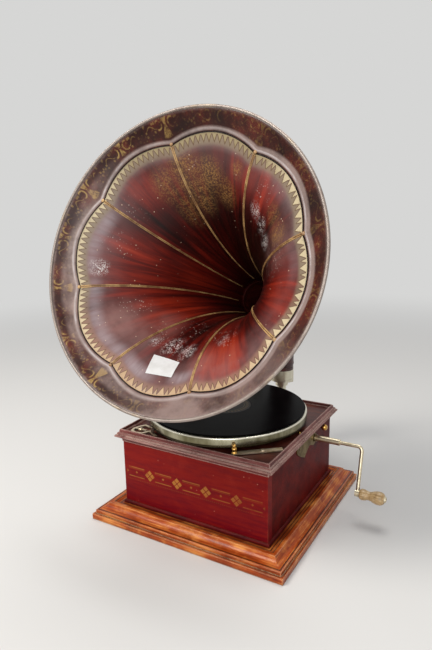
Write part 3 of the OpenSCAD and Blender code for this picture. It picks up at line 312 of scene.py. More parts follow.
def front_wood():
    """Crimson front with its stencilled border of lozenge clusters and broken lines."""
    s = Shader("cabinet_front")
    at = s.place()
    x, _, z = s.split(at)
    xm = s.times(x, 1000)
    zm = s.times(z, 1000)
    base = s.mix(s.step(zm, 24, 112), "#64030f", "#740b07")
    streak = s.noise(s.scaled(at, (7, 60, 60)), 4, 5, 0.6, 0.3)
    base = s.mix(s.step(streak, 0.42, 0.72, 0, 0.4), base, "#851a0a")
    base = s.mix(s.step(streak, 0.52, 0.34, 0, 0.4), base, "#560610")
    mottle = s.noise(at, 34, 6, 0.72)
    base = s.mix(s.step(mottle, 0.5, 0.74, 0, 0.25), base, "#92281a")
    # clusters of four lozenges, two half steps apart, and small diamonds half way between them
    cx = s.far(s.math("PINGPONG", s.plus(xm, 12 * HALF_STEP), HALF_STEP), HALF_STEP)
    cz = s.far(zm, STENCIL_Z)
    beside = s.plus(s.far(cx, LOZENGE_OUT), cz)
    above = s.plus(cx, s.far(cz, LOZENGE_OUT))
    cluster = s.step(s.least(beside, above), LOZENGE, LOZENGE - 0.6, 0.0, 1.0)
    middle = s.plus(s.minus(HALF_STEP, cx), s.far(zm, STENCIL_Z + 0.5))
    dots = s.step(middle, 2.4, 1.7, 0.0, 0.8)

    def line(level, half):
        return s.step(s.far(zm, level), half + 0.5, half, 0.0, 1.0)

    lines = s.most(line(STENCIL_Z + 8, 0.5), s.times(line(STENCIL_Z + 5.8, 0.3), 0.4))
    lines = s.most(lines, line(STENCIL_Z - 7, 0.5))
    lines = s.times(lines, s.step(cx, 9.6, 10.4))
    beads = s.times(line(STENCIL_Z - 12.2, 0.6), s.step(s.math("PINGPONG", xm, 1.7), 0.7, 1.1))
    fade = s.step(xm, -40, 120, 1.0, 0.5)
    patchy = s.step(s.noise(at, 75, 5, 0.75), 0.26, 0.56, 0.25, 1.0)
    paint = s.most(s.most(cluster, dots), s.times(lines, 0.7))
    paint = s.most(paint, s.times(beads, 0.22))
    paint = s.times(paint, s.step(s.size(xm), STENCIL_END + 2, STENCIL_END - 2))
    paint = s.times(paint, s.times(fade, patchy))
    colour = s.mix(s.times(paint, 0.85), base, "#a8702f")
    rub = s.times(s.edges(0.0018, 0.01, 0.2), s.step(mottle, 0.42, 0.62))
    colour = s.mix(s.times(rub, 0.5), colour, "#a8604a")
    specks = s.times(s.step(s.cells(at, 130), 0.11, 0.07), s.step(s.noise(at, 22, 2), 0.55, 0.62))
    colour = s.mix(s.times(specks, 0.7), colour, "#c98d74")
    # painted shade in hollows, drawn from ambient occlusion
    colour = s.mix(s.step(s.grooves(0.008), 0.4, 0.95, 0.55, 0.0), colour, "#1d0606")
    normal = s.bump(s.plus(streak, mottle), 0.1, 0.0006)
    return s.finish(colour, s.plus(s.times(mottle, 0.25), 0.3), 0.0, normal, 0.0, 0.25,
                    Specular_IOR_Level=0.12)


def metal(name, colour, worn, rough, spots, stain="#3a3022", scale=60, patchy=1.0):
    """Metal with worn patches, small spots and stains in its hollows."""
    s = Shader(name)
    at = s.place()
    patch = s.noise(at, scale, 6, 0.65)
    tone = s.mix(s.step(patch, 0.44, 0.7, 0, patchy), colour, worn)
    spot = s.step(s.cells(at, 420), 0.12, 0.2, 1.0, 0.0)
    spot = s.times(spot, s.step(s.noise(at, 45, 3), 0.54, 0.66))
    tone = s.mix(s.times(spot, spots), tone, stain)
    tone = s.mix(s.step(s.grooves(0.004), 0.3, 0.8, 0.6, 0.0), tone, stain)
    normal = s.bump(s.plus(s.noise(at, 900, 2), patch), 0.04, 0.0004)
    shine = s.plus(s.times(patch, 0.24), rough - 0.1)
    shine = s.plus(shine, s.times(spot, 0.3))
    return s.finish(tone, shine, 1.0, normal)


def platter_metal(top, face):
    """Nickel of the turntable: a painted highlight on its upper edge, a mottled side in a darker tone that
    stands in for its reflections, and painted shadow on the skirt under it.
    """
    s = Shader("platter_nickel")
    at = s.place()
    _, _, z = s.split(at)
    down = s.minus(top * 1000, s.times(z, 1000))
    cloud = s.noise(s.scaled(at, (26, 26, 6)), 1.0, 5, 0.65)
    # the side darker than plain nickel, a painted reflection
    tone = s.mix(s.step(cloud, 0.36, 0.62), "#a39e86", "#6b654b")
    # painted highlight along the upper edge
    tone = s.mix(s.step(down, 2.4, 1.4), tone, "#dfdac8")
    # painted shadow on the skirt under the face
    tone = s.mix(s.step(down, face - 1.6, face + 0.4), tone, "#3b3425")
    return s.finish(tone, s.plus(s.times(cloud, 0.2), 0.18), 1.0, s.bump(cloud, 0.03, 0.0004))


def patches(s, x, y, spots):
    """Soft round areas, each (x, y, radius, strength), in millimetres on the mouth."""
    total = None
    for px, py, radius, strength in spots:
        d = s.plus(s.math("POWER", s.minus(x, px), 2), s.math("POWER", s.minus(y, py), 2))
        part = s.step(s.math("SQRT", d), radius, radius * 0.2, 0.0, strength)
        total = part if total is None else s.most(total, part)
    return total


def streaks(s, panel, mx, my):
    """Imitation mahogany brushed along each petal: nearly black, with soft red clearings."""
    broad = s.noise(s.scaled(panel, (3.4, 0.9, 1)), 2.3, 3, 0.5, 0.7)
    fine = s.noise(s.scaled(panel, (30, 2.4, 1)), 3.4, 4, 0.6, 0.4)
    both = s.plus(s.times(broad, 0.5), s.times(fine, 0.12))
    red = patches(s, mx, my, RED_AREAS)
    black = patches(s, mx, my, BLACK_AREAS)
    both = s.minus(s.plus(s.plus(both, 0.1), red), black)
    colour = s.ramp(both, (0.30, "#170302"), (0.42, "#310604"), (0.54, "#5a120a"), (0.68, "#8c2613"),
                    (0.82, "#a64127"))
    return colour, both


def petal_bloom_and_sheen(s, colour, panel, depth, dust, mx, my):
    """Dusty violet bloom near the edge, dust with painted sheen, strongest on the left and below where
    the light falls; grey dust with painted sheen in patches; and a painted reflection of the light in a
    stripe along the edge of the left and lower petals."""
    # stronger on the left and below, where the light falls on the painted sheen
    lower = s.step(s.plus(my, s.times(mx, 0.5)), 60, -60, 0.45, 1.0)
    bloom_and_sheen = s.times(s.step(depth, 84, 14), s.step(dust, 0.3, 0.6, 0.35, 1.0))
    bloom_and_sheen = s.times(bloom_and_sheen, lower)
    colour = s.mix(s.times(bloom_and_sheen, 0.62), colour, "#7f5a57")
    dull = patches(s, mx, my, DUST_SHEEN_AREAS)
    # grey dust with painted sheen in patches
    colour = s.mix(s.times(dull, s.step(dust, 0.3, 0.6, 0.4, 1.0)), colour, "#8f6862")
    # painted reflection of the light: a stripe along the edge of the left and lower petals
    stripe = s.step(s.far(depth, 22), 19, 0)
    sheen_streaks = s.step(s.noise(s.scaled(panel, (5, 1.5, 1)), 3, 4, 0.6), 0.3, 0.65, 0.55, 1.0)
    sheen = s.times(patches(s, mx, my, SHEEN_AREAS), s.times(stripe, sheen_streaks))
    return s.mix(s.times(sheen, 0.72), colour, "#a4979a"), bloom_and_sheen


def petal_wear(s, colour, place, along, mx, my):
    """Worn places: a mesh of fine gold specks above, grey and white flakes elsewhere, loose crumbs."""
    grain = s.noise(place, 430, 4, 0.85)
    net = s.times(s.step(grain, 0.47, 0.58), s.step(s.noise(place, 60, 4, 0.7), 0.3, 0.52))
    gold = patches(s, mx, my, GOLD_AREAS)
    colour = s.mix(s.times(s.times(gold, net), 0.85), colour, "#9c733d")
    colour = s.mix(s.times(gold, 0.14), colour, "#7d5735")
    flakes = s.step(s.cells(place, 300), 0.28, 0.18)
    flakes = s.times(flakes, s.step(s.noise(place, 90, 3, 0.6), 0.42, 0.56))
    grey = patches(s, mx, my, GREY_AREAS)
    colour = s.mix(s.times(s.times(grey, flakes), 0.95), colour, "#cfc0b4")
    crumbs = s.step(s.noise(place, 480, 4, 0.85), 0.5, 0.55)
    crumbs = s.times(crumbs, s.step(s.noise(place, 110, 3, 0.6), 0.36, 0.54))
    white = patches(s, mx, my, WHITE_AREAS)
    colour = s.mix(s.times(white, crumbs), colour, "#d3ccc7")
    loose = s.times(s.step(s.cells(place, 88), 0.085, 0.05), s.step(along, 0.3, 0.6))
    return s.mix(s.times(loose, 0.8), colour, "#d0b79c"), gold


def petal_teeth(s, place, k, teeth, inner):
    """Large triangles on a narrow band with thin ones between them: how far each place is filled and
    how far it lies on an outline."""
    half = s.times(s.math("PINGPONG", teeth, 0.5), TOOTH_PITCH)
    big = s.minus(s.minus(TOOTH_PITCH / 2, half), s.minus(5.5, s.times(inner, 0.46)))
    small = s.minus(half, s.minus(2.6, s.times(inner, 0.26)))
    # the four petals above and on the left have finer teeth, all of one size, and no thin ones
    finer = s.math("COMPARE", k, 3.9, 2.7)
    even = s.times(s.math("PINGPONG", teeth, 0.25), TOOTH_PITCH)
    even = s.minus(even, s.minus(3.7, s.times(inner, 0.37)))
    big = s.plus(s.times(big, s.minus(1, finer)), s.times(even, finer))
    small = s.plus(small, s.times(finer, 20))
    below = s.times(s.step(inner, 11.6, 10.8), s.step(inner, -0.4, 0.4))
    short = s.times(s.step(inner, 10.0, 9.2), s.step(inner, -0.4, 0.4))
    outline = s.most(s.times(s.step(s.size(big), 0.75, 0.3), below),
                     s.times(s.step(s.size(small), 0.7, 0.3), short))
    filled = s.most(s.times(s.step(big, 0.3, -0.3), below),
                    s.times(s.step(small, 0.3, -0.3), s.times(short, 0.85)))
    filled = s.most(filled, s.step(inner, 0.4, -0.4))
    wear = s.step(s.noise(place, 130, 5, 0.7), 0.2, 0.5, 0.55, 1.0)
    return s.times(filled, wear), outline


def petal_border(s, colour, place, k, teeth, depth, dust, mx, my):
    """Dull veil at the petal's edge with the cream teeth on it, outlined in brown, and painted shade in the
    crease at its very edge.
    """
    ragged = s.times(s.minus(s.noise(place, 300, 3), 0.5), 1.2)
    inner = s.plus(s.minus(depth, TEETH_START), ragged)
    filled, outline = petal_teeth(s, place, k, teeth, inner)
    low = s.step(my, -40, -110)
    bright = s.step(s.size(mx), 90, 140)
    patch = s.noise(place, 90, 3)
    cream = s.mix(patch, s.mix(low, "#86734f", "#a3845f"), s.mix(low, "#9b8e70", "#b99a78"))
    cream = s.mix(s.times(bright, 0.6), cream, "#d3c3a0")
    haze = s.times(s.step(depth, 26, 12), s.step(my, -20, 60, 0.0, 0.5))
    colour = s.mix(s.times(haze, s.step(dust, 0.3, 0.6, 0.4, 1.0)), colour, "#86736d")
    veil = s.times(s.step(depth, 19, 11), s.step(dust, 0.3, 0.6, 0.5, 0.85))
    colour = s.mix(veil, colour, s.mix(low, "#83745f", "#8a6654"))
    colour = s.mix(filled, colour, cream)
    colour = s.mix(s.times(outline, 0.8), colour, "#4f3120")
    # painted shade along the crease at the petal's edge
    return s.mix(s.step(depth, 1.0, 0.3), colour, "#2c1410")


def horn_inside():
    """Painted inside of the petals: brushed wood, painted shade in the throat, dust bloom with painted
    sheen, painted reflections, wear and the toothed border.
    """
    s = Shader("horn_inside")
    panel = s.uv("panel")
    place = s.place()
    k, along, _ = s.split(panel)
    teeth, depth, _ = s.split(s.uv("edge"))
    depth = s.times(depth, 1000)
    mx, my, _ = s.split(s.uv("mouth"))
    mx = s.times(mx, 1000)
    my = s.times(my, 1000)
    dust = s.noise(place, 18, 5, 0.62)
    colour, height = streaks(s, panel, mx, my)
    # painted shade, darker towards the throat
    colour = s.mix(s.step(along, 0.02, 0.34, 0.7, 0.0), colour, "#120202")
    colour, bloom_and_sheen = petal_bloom_and_sheen(s, colour, panel, depth, dust, mx, my)
    colour, gold = petal_wear(s, colour, place, along, mx, my)
    colour = petal_border(s, colour, place, k, teeth, depth, dust, mx, my)
    normal = s.bump(s.plus(s.times(height, 0.3), s.times(dust, 0.8)), 0.2, 0.0012)
    shine = s.plus(s.times(dust, 0.24), 0.24)
    shine = s.plus(shine, s.times(s.most(bloom_and_sheen, gold), 0.16))
    return s.finish(colour, shine, 0.0, normal, 0.05, 0.14, Specular_IOR_Level=0.28)


def horn_outside():
    """Dark stained outside of the horn, rubbed at its edges."""
    s = Shader("horn_outside")
    place = s.place()
    broad = s.noise(s.scaled(place, (14, 5, 14)), 2.2, 5, 0.62, 0.8)
    fine = s.noise(s.scaled(place, (60, 12, 60)), 2.0, 4, 0.6)
    colour = s.ramp(s.plus(s.times(broad, 0.7), s.times(fine, 0.3)),
                    (0.34, "#260705"), (0.5, "#3c0e08"), (0.68, "#54170d"))
    dust = s.noise(place, 40, 6, 0.7)
    rub = s.times(s.edges(0.002, 0.01, 0.2), s.step(dust, 0.45, 0.6))
    chips = s.times(s.step(s.cells(place, 120), 0.06, 0.1, 1.0, 0.0), s.step(dust, 0.5, 0.6))
    colour = s.mix(s.times(s.most(rub, chips), 0.7), colour, "#8a6a50")
    normal = s.bump(dust, 0.12, 0.0008)
    return s.finish(colour, s.plus(s.times(dust, 0.3), 0.24), 0.0, normal, 0.3, 0.2)


def rim_ornament(s, m, vm):
    """On each side of a flared bar a scroll and a leafy stem that dies away."""
    def stroke(dist, half, soft=0.5):
        return s.step(s.minus(dist, half), soft, -soft)

    from_middle = s.math("SQRT", s.plus(s.math("POWER", s.minus(m, 10.0), 2),
                                        s.math("POWER", s.minus(vm, 0.4), 2)))
    bar = stroke(m, s.plus(1.2, s.times(s.size(vm), 0.42)))
    scroll = s.times(stroke(s.far(from_middle, 4.8), 0.9), s.step(m, 13.4, 11.0))
    stem = stroke(s.far(vm, s.times(s.math("SINE", s.times(m, 0.34)), 2.8)), 0.6)
    stem = s.times(stem, s.times(s.step(m, 12, 15), s.step(m, 34, 24)))
    leaves = s.times(s.step(s.cells(s.join(m, vm), 0.19), 0.34, 0.24), s.step(m, 12, 16))
    return s.most(s.most(bar, scroll), s.times(s.most(stem, leaves), 0.5))


def rim_wear(s, colour, place, cloud, out, vm, mx, my):
    """Pale ridge that follows the petals, partly rubbed and partly a painted highlight, a greyer lower
    half that is painted sheen, and a rubbed edge at the bead with painted sheen below.
    """
    lower = s.step(s.plus(my, s.times(mx, 0.5)), 0.06, -0.16)
    lower = s.most(lower, s.step(mx, -0.1, -0.19))
    # the pale ridge is partly rubbed paint and partly a painted highlight, wider on the right
    wide = s.step(mx, 0.03, 0.14, 0.0, 4.0)
    rubbed_and_highlight = s.times(s.step(out, 0.9, 2.4), s.step(s.minus(out, wide), 7.5, 4.2))
    rubbed_and_highlight = s.times(rubbed_and_highlight, s.step(cloud, 0.3, 0.6, 0.55, 1.0))
    colour = s.mix(s.times(rubbed_and_highlight, 0.75), colour, "#95837c")
    # painted sheen: a grey haze, strong on the lower half and faint above
    haze = s.step(s.noise(place, 14, 5, 0.66), 0.36, 0.66, 0.15, 0.85)
    haze = s.times(haze, s.most(s.step(vm, 1.0, -6.0, 0.1, 1.0), s.step(mx, -0.08, 0.02)))
    colour = s.mix(s.times(haze, s.plus(0.04, s.times(lower, 0.84))), colour, "#937d76")
    # painted highlight: a bright line along the ridge on the left and right
    ridge_highlight = s.times(s.step(s.far(out, 3.6), 1.7, 0.4), s.step(s.size(mx), 0.05, 0.15, 0.25, 0.75))
    ridge_highlight = s.times(ridge_highlight, s.step(s.noise(place, 34, 5, 0.7), 0.36, 0.6, 0.25, 1.0))
    colour = s.mix(ridge_highlight, colour, "#c2b8b6")
    pale = s.times(s.step(mx, -0.13, -0.19), s.step(cloud, 0.36, 0.6, 0.1, 0.5))
    colour = s.mix(s.times(pale, s.step(out, 13, 7)), colour, "#b5a49a")
    rough = s.noise(place, 130, 5, 0.7)
    # rubbed edge at the bead, paler on the lower half with painted sheen
    near_bead = s.times(s.step(vm, 4.6, 8.0), s.step(rough, 0.3, 0.56, 0.3, 1.0))
    colour = s.mix(s.times(near_bead, s.plus(0.3, s.times(lower, 0.35))), colour, "#8f7a72")
    return colour, rough


def rim_paint():
    """Dark red-brown band with faded gold scrolls, a pale ridge partly rubbed and partly a painted
    highlight, painted sheen below, and painted shade in the crease.
    """
    s = Shader("rim_paint")
    u, v, _ = s.split(s.uv("band"))
    out, _, _ = s.split(s.uv("ridge"))
    mx, my, _ = s.split(s.uv("mouth"))
    place = s.place()
    out = s.times(out, 1000)
    m = s.size(s.times(u, 1000))
    bend = s.times(s.minus(s.noise(place, 110, 3), 0.5), 2.6)
    vm = s.plus(s.times(v, 1000), bend)
    cloud = s.noise(place, 24, 6, 0.7)
    colour = s.ramp(cloud, (0.36, "#1d0603"), (0.5, "#330f08"), (0.66, "#541b10"))
    worn = s.step(s.noise(place, 70, 6, 0.75), 0.4, 0.58)
    left = s.step(mx, 0.02, -0.12, 0.25, 1.0)
    inside = s.times(s.step(vm, 7.2, 6.2), s.step(out, 8.0, 10.5))
    gilt = s.times(s.times(rim_ornament(s, m, vm), inside), s.times(worn, left))
    colour = s.mix(s.times(gilt, 0.8), colour, s.mix(cloud, "#8c6a2c", "#b89b5e"))
    gold_dust = s.times(s.step(s.noise(place, 230, 4, 0.8), 0.55, 0.66), s.step(cloud, 0.46, 0.6))
    colour = s.mix(s.times(gold_dust, 0.45), colour, "#94753f")
    colour, rough = rim_wear(s, colour, place, cloud, out, vm, mx, my)
    # painted shade in the crease beside the petals
    colour = s.mix(s.step(out, 1.1, 0.5), colour, "#0f0504")
    return s.finish(colour, s.plus(s.times(cloud, 0.3), 0.24), 0.0, s.bump(rough, 0.18, 0.0008), 0.0, 0.2,
                    Specular_IOR_Level=0.2)


def cream_line(name, bright, dull, dirt_and_shade="#33160d"):
    """Old gold line paint, rubbed brown in places, with painted shade in its hollows."""
    s = Shader(name)
    place = s.place()
    patch = s.noise(place, 46, 6, 0.7)
    colour = s.mix(s.step(patch, 0.36, 0.6), bright, dull)
    chips = s.times(s.step(s.cells(place, 300), 0.12, 0.2, 1.0, 0.0), s.step(patch, 0.44, 0.56))
    colour = s.mix(s.times(chips, 0.85), colour, dirt_and_shade)
    # painted shade in hollows, drawn from ambient occlusion
    colour = s.mix(s.step(s.grooves(0.0022), 0.3, 0.8, 0.75, 0.0), colour, dirt_and_shade)
    return s.finish(colour, 0.42, 0.0, s.bump(patch, 0.2, 0.0006), 0.15, 0.3)


def bead_paint():
    s = Shader("bead_paint")
    place = s.place()
    patch = s.noise(place, 26, 6, 0.72)
    colour = s.mix(s.step(patch, 0.5, 0.74), "#8f8279", "#5f4b43")
    gold = s.step(s.noise(place, 16, 5, 0.6), 0.58, 0.7)
    colour = s.mix(s.times(gold, 0.4), colour, "#a58f66")
    scuff = s.step(s.noise(place, 160, 4, 0.7), 0.54, 0.68)
    colour = s.mix(s.times(scuff, 0.25), colour, "#b9afa6")
    return s.finish(colour, s.plus(s.times(patch, 0.3), 0.22), 0.3, s.bump(patch, 0.03, 0.0006))


def from_spindle(s):
    """Distance from the spindle, in millimetres, and direction around it."""
    x, y, _ = s.split(s.place())
    dx = s.minus(x, SPINDLE[0] * MM)
    dy = s.minus(y, SPINDLE[1] * MM)
    square = s.plus(s.times(dx, dx), s.times(dy, dy))
    return s.times(s.math("SQRT", square), 1000), s.math("ARCTAN2", dy, dx)


def shellac():
    """Black record with fine grooves and smoother bands between its tracks."""
    s = Shader("record_shellac")
    r, _ = from_spindle(s)
    grooves = s.math("SINE", s.times(r, math.tau / GROOVE_PITCH))
    first, last = GROOVED
    cut = s.times(s.step(r, first, first + 1.5), s.step(r, last, last - 1.5))
    gap = s.step(s.noise(s.join(s.times(r, 0.13), 0), 1.0, 2), 0.5, 0.6, 1.0, 0.7)
    height = s.times(s.times(grooves, cut), gap)
    dust = s.noise(s.place(), 60, 4, 0.6)
    dark = s.mix(s.step(dust, 0.5, 0.78, 0, 0.5), "#050405", "#0d0b0b")
    rough = s.plus(s.times(cut, 0.06), s.times(dust, 0.14))
    return s.finish(dark, s.plus(rough, 0.1), 0.0, s.bump(height, 0.05, 0.0002), 0.0,
                    Specular_IOR_Level=0.3, IOR=1.09)


def label():
    """Plain dark label: rings and a ray border, no words."""
    s = Shader("record_label_paper")
    r, turn = from_spindle(s)
    spokes = s.step(s.math("SINE", s.times(turn, 36)), -0.2, 0.2)
    first, last = LABEL_RAYS
    border = s.times(s.step(r, first, first + 0.7), s.step(r, last, last - 0.6))
    outer, inner = LABEL_RINGS
    ring = s.most(s.step(s.far(r, outer), 0.7, 0.3), s.step(s.far(r, inner), 0.6, 0.3))
    gilt = s.most(s.times(spokes, border), ring)
    paper = s.mix(s.noise(s.place(), 90, 5, 0.7), "#0c0807", "#1a1210")
    return s.finish(s.mix(s.times(gilt, 0.45), paper, "#7d673f"), 0.55, Specular_IOR_Level=0.25)


def felt():
    s = Shader("mat_felt")
    fuzz = s.noise(s.place(), 900, 4, 0.8)
    colour = s.mix(s.step(fuzz, 0.35, 0.65), "#0f160f", "#26331f")
    return s.finish(colour, 0.95, 0.0, s.bump(fuzz, 0.6, 0.0006), Sheen_Weight=0.4)


def leather():
    s = Shader("brake_leather")
    pore = s.cells(s.place(), 900)
    return s.finish(s.mix(pore, "#20110b", "#47301f"), 0.6, 0.0, s.bump(pore, 0.5, 0.0004))


def mica():
    s = Shader("soundbox_mica")
    flake = s.noise(s.place(), 70, 4, 0.6)
    colour = s.mix(flake, "#b8ad90", "#e3dcc6")
    return s.finish(colour, s.plus(s.times(flake, 0.15), 0.08), 0.0,
                    s.bump(flake, 0.1, 0.0004), 0.4, 0.06)


def sticker_paper():
    s = Shader("sticker_paper")
    crease = s.noise(s.place(), 60, 4, 0.6)
    return s.finish(s.mix(s.step(crease, 0.4, 0.7, 0, 0.5), "#d3d2d0", "#bcbab5"), 0.6, 0.0,
                    s.bump(crease, 0.3, 0.0008))


def handle_wood():
    s = Shader("handle_wood")
    at = s.place()
    streak = s.noise(s.scaled(at, (12, 220, 220)), 3, 5, 0.6, 0.4)
    colour = s.ramp(streak, (0.34, "#9c7b50"), (0.5, "#bd9b6b"), (0.68, "#d8bd90"))
    x, _, _ = s.split(at)
    ring = s.step(s.far(s.math("PINGPONG", s.times(x, 1000), 9), 4.5), 0.9, 0.5)
    colour = s.mix(s.times(ring, 0.2), colour, "#6c4f33")
    soil_and_shade = s.noise(at, 130, 5, 0.7)
    colour = s.mix(s.step(soil_and_shade, 0.5, 0.72, 0, 0.4), colour, "#6d563b")
    return s.finish(colour, 0.42, 0.0, s.bump(s.plus(streak, soil_and_shade), 0.3, 0.0006), 0.2, 0.3)


# Painted shade in the plinth's grooves: distance from the middle and height of each inner corner
PLINTH_GROOVE_SHADE = ((157.8, 8.8), (155.0, 15.6), (136.5, 24.4), (151.5, 24.4), (130.0, 20.5))

materials = {
    "plinth_wood": wood("plinth_wood", "#6e2407", "#a44512", "#dc8f46", "#d8a87c", 0.36, 0.12, 0.85, 1.1,
                        True, lines=PLINTH_GROOVE_SHADE, figure=0.7, corner=0.0024),
    "raw_wood": wood("raw_wood", "#5a3d26", "#7b5a3a", "#9a7850", "#a98c66", 0.75, 0.0, 0.2, 0.8),
    "cabinet_wood": wood("cabinet_wood", "#33070b", "#530e0e", "#6d1712", "#7c4430", 0.4, 0.0, 0.5, 1.4,
                         soil_and_shade=0.5, gloss=0.06),
    "moulding_wood": wood("moulding_wood", "#381210", "#66302c", "#8a554f", "#c6a798", 0.38, 0.08, 0.9, 0.8,
                          True, corner=0.0024),
    "board_wood": wood("board_wood", "#2a0b08", "#481a13", "#6b3323", "#7b5340", 0.4, 0.05, 0.4, soil_and_shade=0.5),
    "handle_wood": handle_wood(),
    "brass": metal("brass", "#d2a45c", "#a97c3a", 0.22, 0.3, "#4a3216"),
    "aged_brass": metal("aged_brass", "#84714a", "#5d4c2e", 0.46, 0.5, "#3b2d1a"),
    "steel": metal("steel", "#a5a49f", "#7f7d78", 0.3, 0.35, "#3b2c20"),
    "nickel": metal("nickel", "#dad4c0", "#b6ab85", 0.32, 0.3, "#4a3f2a", 18, 0.8),
    "worn_nickel": metal("worn_nickel", "#dccfb2", "#9c8c6c", 0.34, 0.5, "#5a4630", 50, 0.7),
    "leather": leather(),
    "felt": felt(),
    "shellac": shellac(),
    "paper": label(),
    "mica": mica(),
    "horn_paint": horn_outside(),
    "horn_gold": cream_line("horn_gold", "#c09a63", "#85603a"),
}


# Dressing of the CAD nodes: welded, softened edges, smooth curved faces

def rounding_group():
    """Geometry nodes that weld the faces and smooth all but the sharp edges."""
    g = bpy.data.node_groups.new("weld_and_smooth", "GeometryNodeTree")
    g.interface.new_socket("Geometry", in_out="INPUT", socket_type="NodeSocketGeometry")
    g.interface.new_socket("Geometry", in_out="OUTPUT", socket_type="NodeSocketGeometry")
    start = g.nodes.new("NodeGroupInput")
    end = g.nodes.new("NodeGroupOutput")
    clear = g.nodes.new("GeometryNodeRemoveAttribute")
    clear.inputs["Name"].default_value = "custom_normal"
    weld = g.nodes.new("GeometryNodeMergeByDistance")
    weld.inputs["Distance"].default_value = WELD * MM
    angle = g.nodes.new("GeometryNodeInputMeshEdgeAngle")
    flat = g.nodes.new("FunctionNodeCompare")
    flat.operation = "LESS_THAN"
    flat.inputs[1].default_value = math.radians(SMOOTH_BELOW)
    faces = g.nodes.new("GeometryNodeSetShadeSmooth")
    edges = g.nodes.new("GeometryNodeSetShadeSmooth")
    edges.domain = "EDGE"
    link = g.links.new
    link(start.outputs[0], clear.inputs["Geometry"])
    link(clear.outputs[0], weld.inputs["Geometry"])
    link(weld.outputs[0], faces.inputs["Geometry"])
    link(faces.outputs[0], edges.inputs["Geometry"])
    link(angle.outputs["Unsigned Angle"], flat.inputs[0])
    link(flat.outputs[0], edges.inputs["Shade Smooth"])
    link(edges.outputs[0], end.inputs[0])
    return g


rounding = rounding_group()

# Radius of the rounded edges, in millimetres
SOFT = {"plinth": 0.7, "front_panel": 0.5, "back_panel": 0.5, "left_panel": 0.5, "right_panel": 0.5,
        "foot_bead": 0.4, "top_moulding": 0.45, "motor_board": 0.6, "bottom_board": 0.6, "base_rail": 0.8,
        "crank_plate": 0.35, "speed_lever": 0.3, "brake_lever": 0.25, "platter": 0.3, "arm_bracket": 0.8,
        "motor_plates": 0.4, "crank_rod": 0.4, "crank_handle": 0.5, "soundbox_case": 0.5, "arm_cup": 0.5,
        "governor_arm": 0.3, "board_screws": 0.2, "bracket_screws": 0.2, "brake_pad": 0.4}


def dress(node, name):
    """Smooth the node's faces and round its edges by its own radius, in millimetres."""
    node.modifiers.new("Rounding", "NODES").node_group = rounding
    if name in SOFT:
        soft = node.modifiers.new("Edges", "BEVEL")
        soft.width = SOFT[name] * MM
        soft.segments = 2
        soft.limit_method = "ANGLE"
        soft.angle_limit = math.radians(ROUND_ABOVE)
        soft.harden_normals = False


for part in frame["record"]["subparts"]:
    node = frame["nodes"][part["node"]]
    dress(node, part["node"])
    node.data.materials.clear()
    node.data.materials.append(materials[part["material_slot"]])
lever_metal = metal("lever_metal", "#d8c8ae", "#ad9877", 0.42, 0.4)
platter_top = max(v[2] for v in frame["nodes"]["platter"].bound_box)
own_finish = {"front_panel": front_wood(), "speed_lever": lever_metal, "brake_lever": lever_metal,
              "platter": platter_metal(platter_top, PLATTER_FACE)}
for name, finish in own_finish.items():
    frame["nodes"][name].data.materials[0] = finish


# Horn: the mouth's own frame has its +Z out of the mouth, and the stand's frame turns with the horn

mouth = (Matrix.Translation((0, POLE_Y * MM, 0)) @ Matrix.Rotation(math.radians(HORN_TURN), 4, "Z")
         @ Matrix.Translation((0, -HORN_REACH * MM, HORN_Z * MM))
         @ Matrix.Rotation(math.radians(90 - HORN_TILT), 4, "X"))
stand = Matrix.Translation((0, POLE_Y * MM, 0)) @ Matrix.Rotation(math.radians(HORN_TURN), 4, "Z")


def bez(p, s):
    q = 1 - s
    return q ** 3 * p[0] + 3 * s * q * q * p[1] + 3 * s * s * q * p[2] + s ** 3 * p[3]


def slope(p, s):
    q = 1 - s
    return 3 * q * q * (p[1] - p[0]) + 6 * s * q * (p[2] - p[1]) + 3 * s * s * (p[3] - p[2])


def hump(x, middle, width, height=1.0):
    """Smooth bump round the middle."""
    return height * math.exp(-((x - middle) / width) ** 2)


def petal_form(t):
    """Swell across a petal: none at its seams, full in its middle."""
    return 1 - abs(t) ** 1.8


def reach(rising, target):
    """Parameter from 0 to 1 at which a rising function reaches the target."""
    lo, hi = 0.0, 1.0
    for _ in range(30):
        mid = (lo + hi) / 2
        if rising(mid) < target:
            lo = mid
        else:
            hi = mid
    return lo


def across_petal(degrees):
    """Place across its petal, -1 to 1, of a direction on the mouth."""
    return 2 * (((degrees - PHASE) / (360 / PETALS)) % 1) - 1


def bell_point(angle, t, s, out):
    """Point of the bell in the mouth's frame, in metres: t across a petal, s along the flare."""
    q = max(s, 0.0)
    dd, dr = slope(BEZ_D, q), slope(BEZ_R, q)
    long = math.hypot(dd, dr)
    f = petal_form(t)
    r = (NECK_R if s < 0 else bez(BEZ_R, q)) * (1 + SWELL * f * q ** 0.8) - out * dd / long
    d = (BELL_DEPTH if s < 0 else bez(BEZ_D, q)) - DISH * f * q ** 4 + out * dr / long
    return Vector((r * math.cos(angle), r * math.sin(angle), -d)) * MM


def build(name, points, faces, mats, slots=None, uvs=None, smooth=True, at=None):
    """A mesh object in the row frame; points are in metres in the frame called at."""
    place = at if at is not None else Matrix.Identity(4)
    mesh = bpy.data.meshes.new(name)
    mesh.from_pydata([place @ p for p in points], [], faces)
    for m in mats:
        mesh.materials.append(m)
    if slots:
        mesh.polygons.foreach_set("material_index", slots)
    for layer, values in (uvs or {}).items():
        data = mesh.uv_layers.new(name=layer).data
        for loop in mesh.loops:
            data[loop.index].uv = values[loop.vertex_index]
    mesh.polygons.foreach_set("use_smooth", [smooth] * len(mesh.polygons))
    mesh.update()
    obj = bpy.data.objects.new(name, mesh)
    bpy.context.scene.collection.objects.link(obj)
    return obj


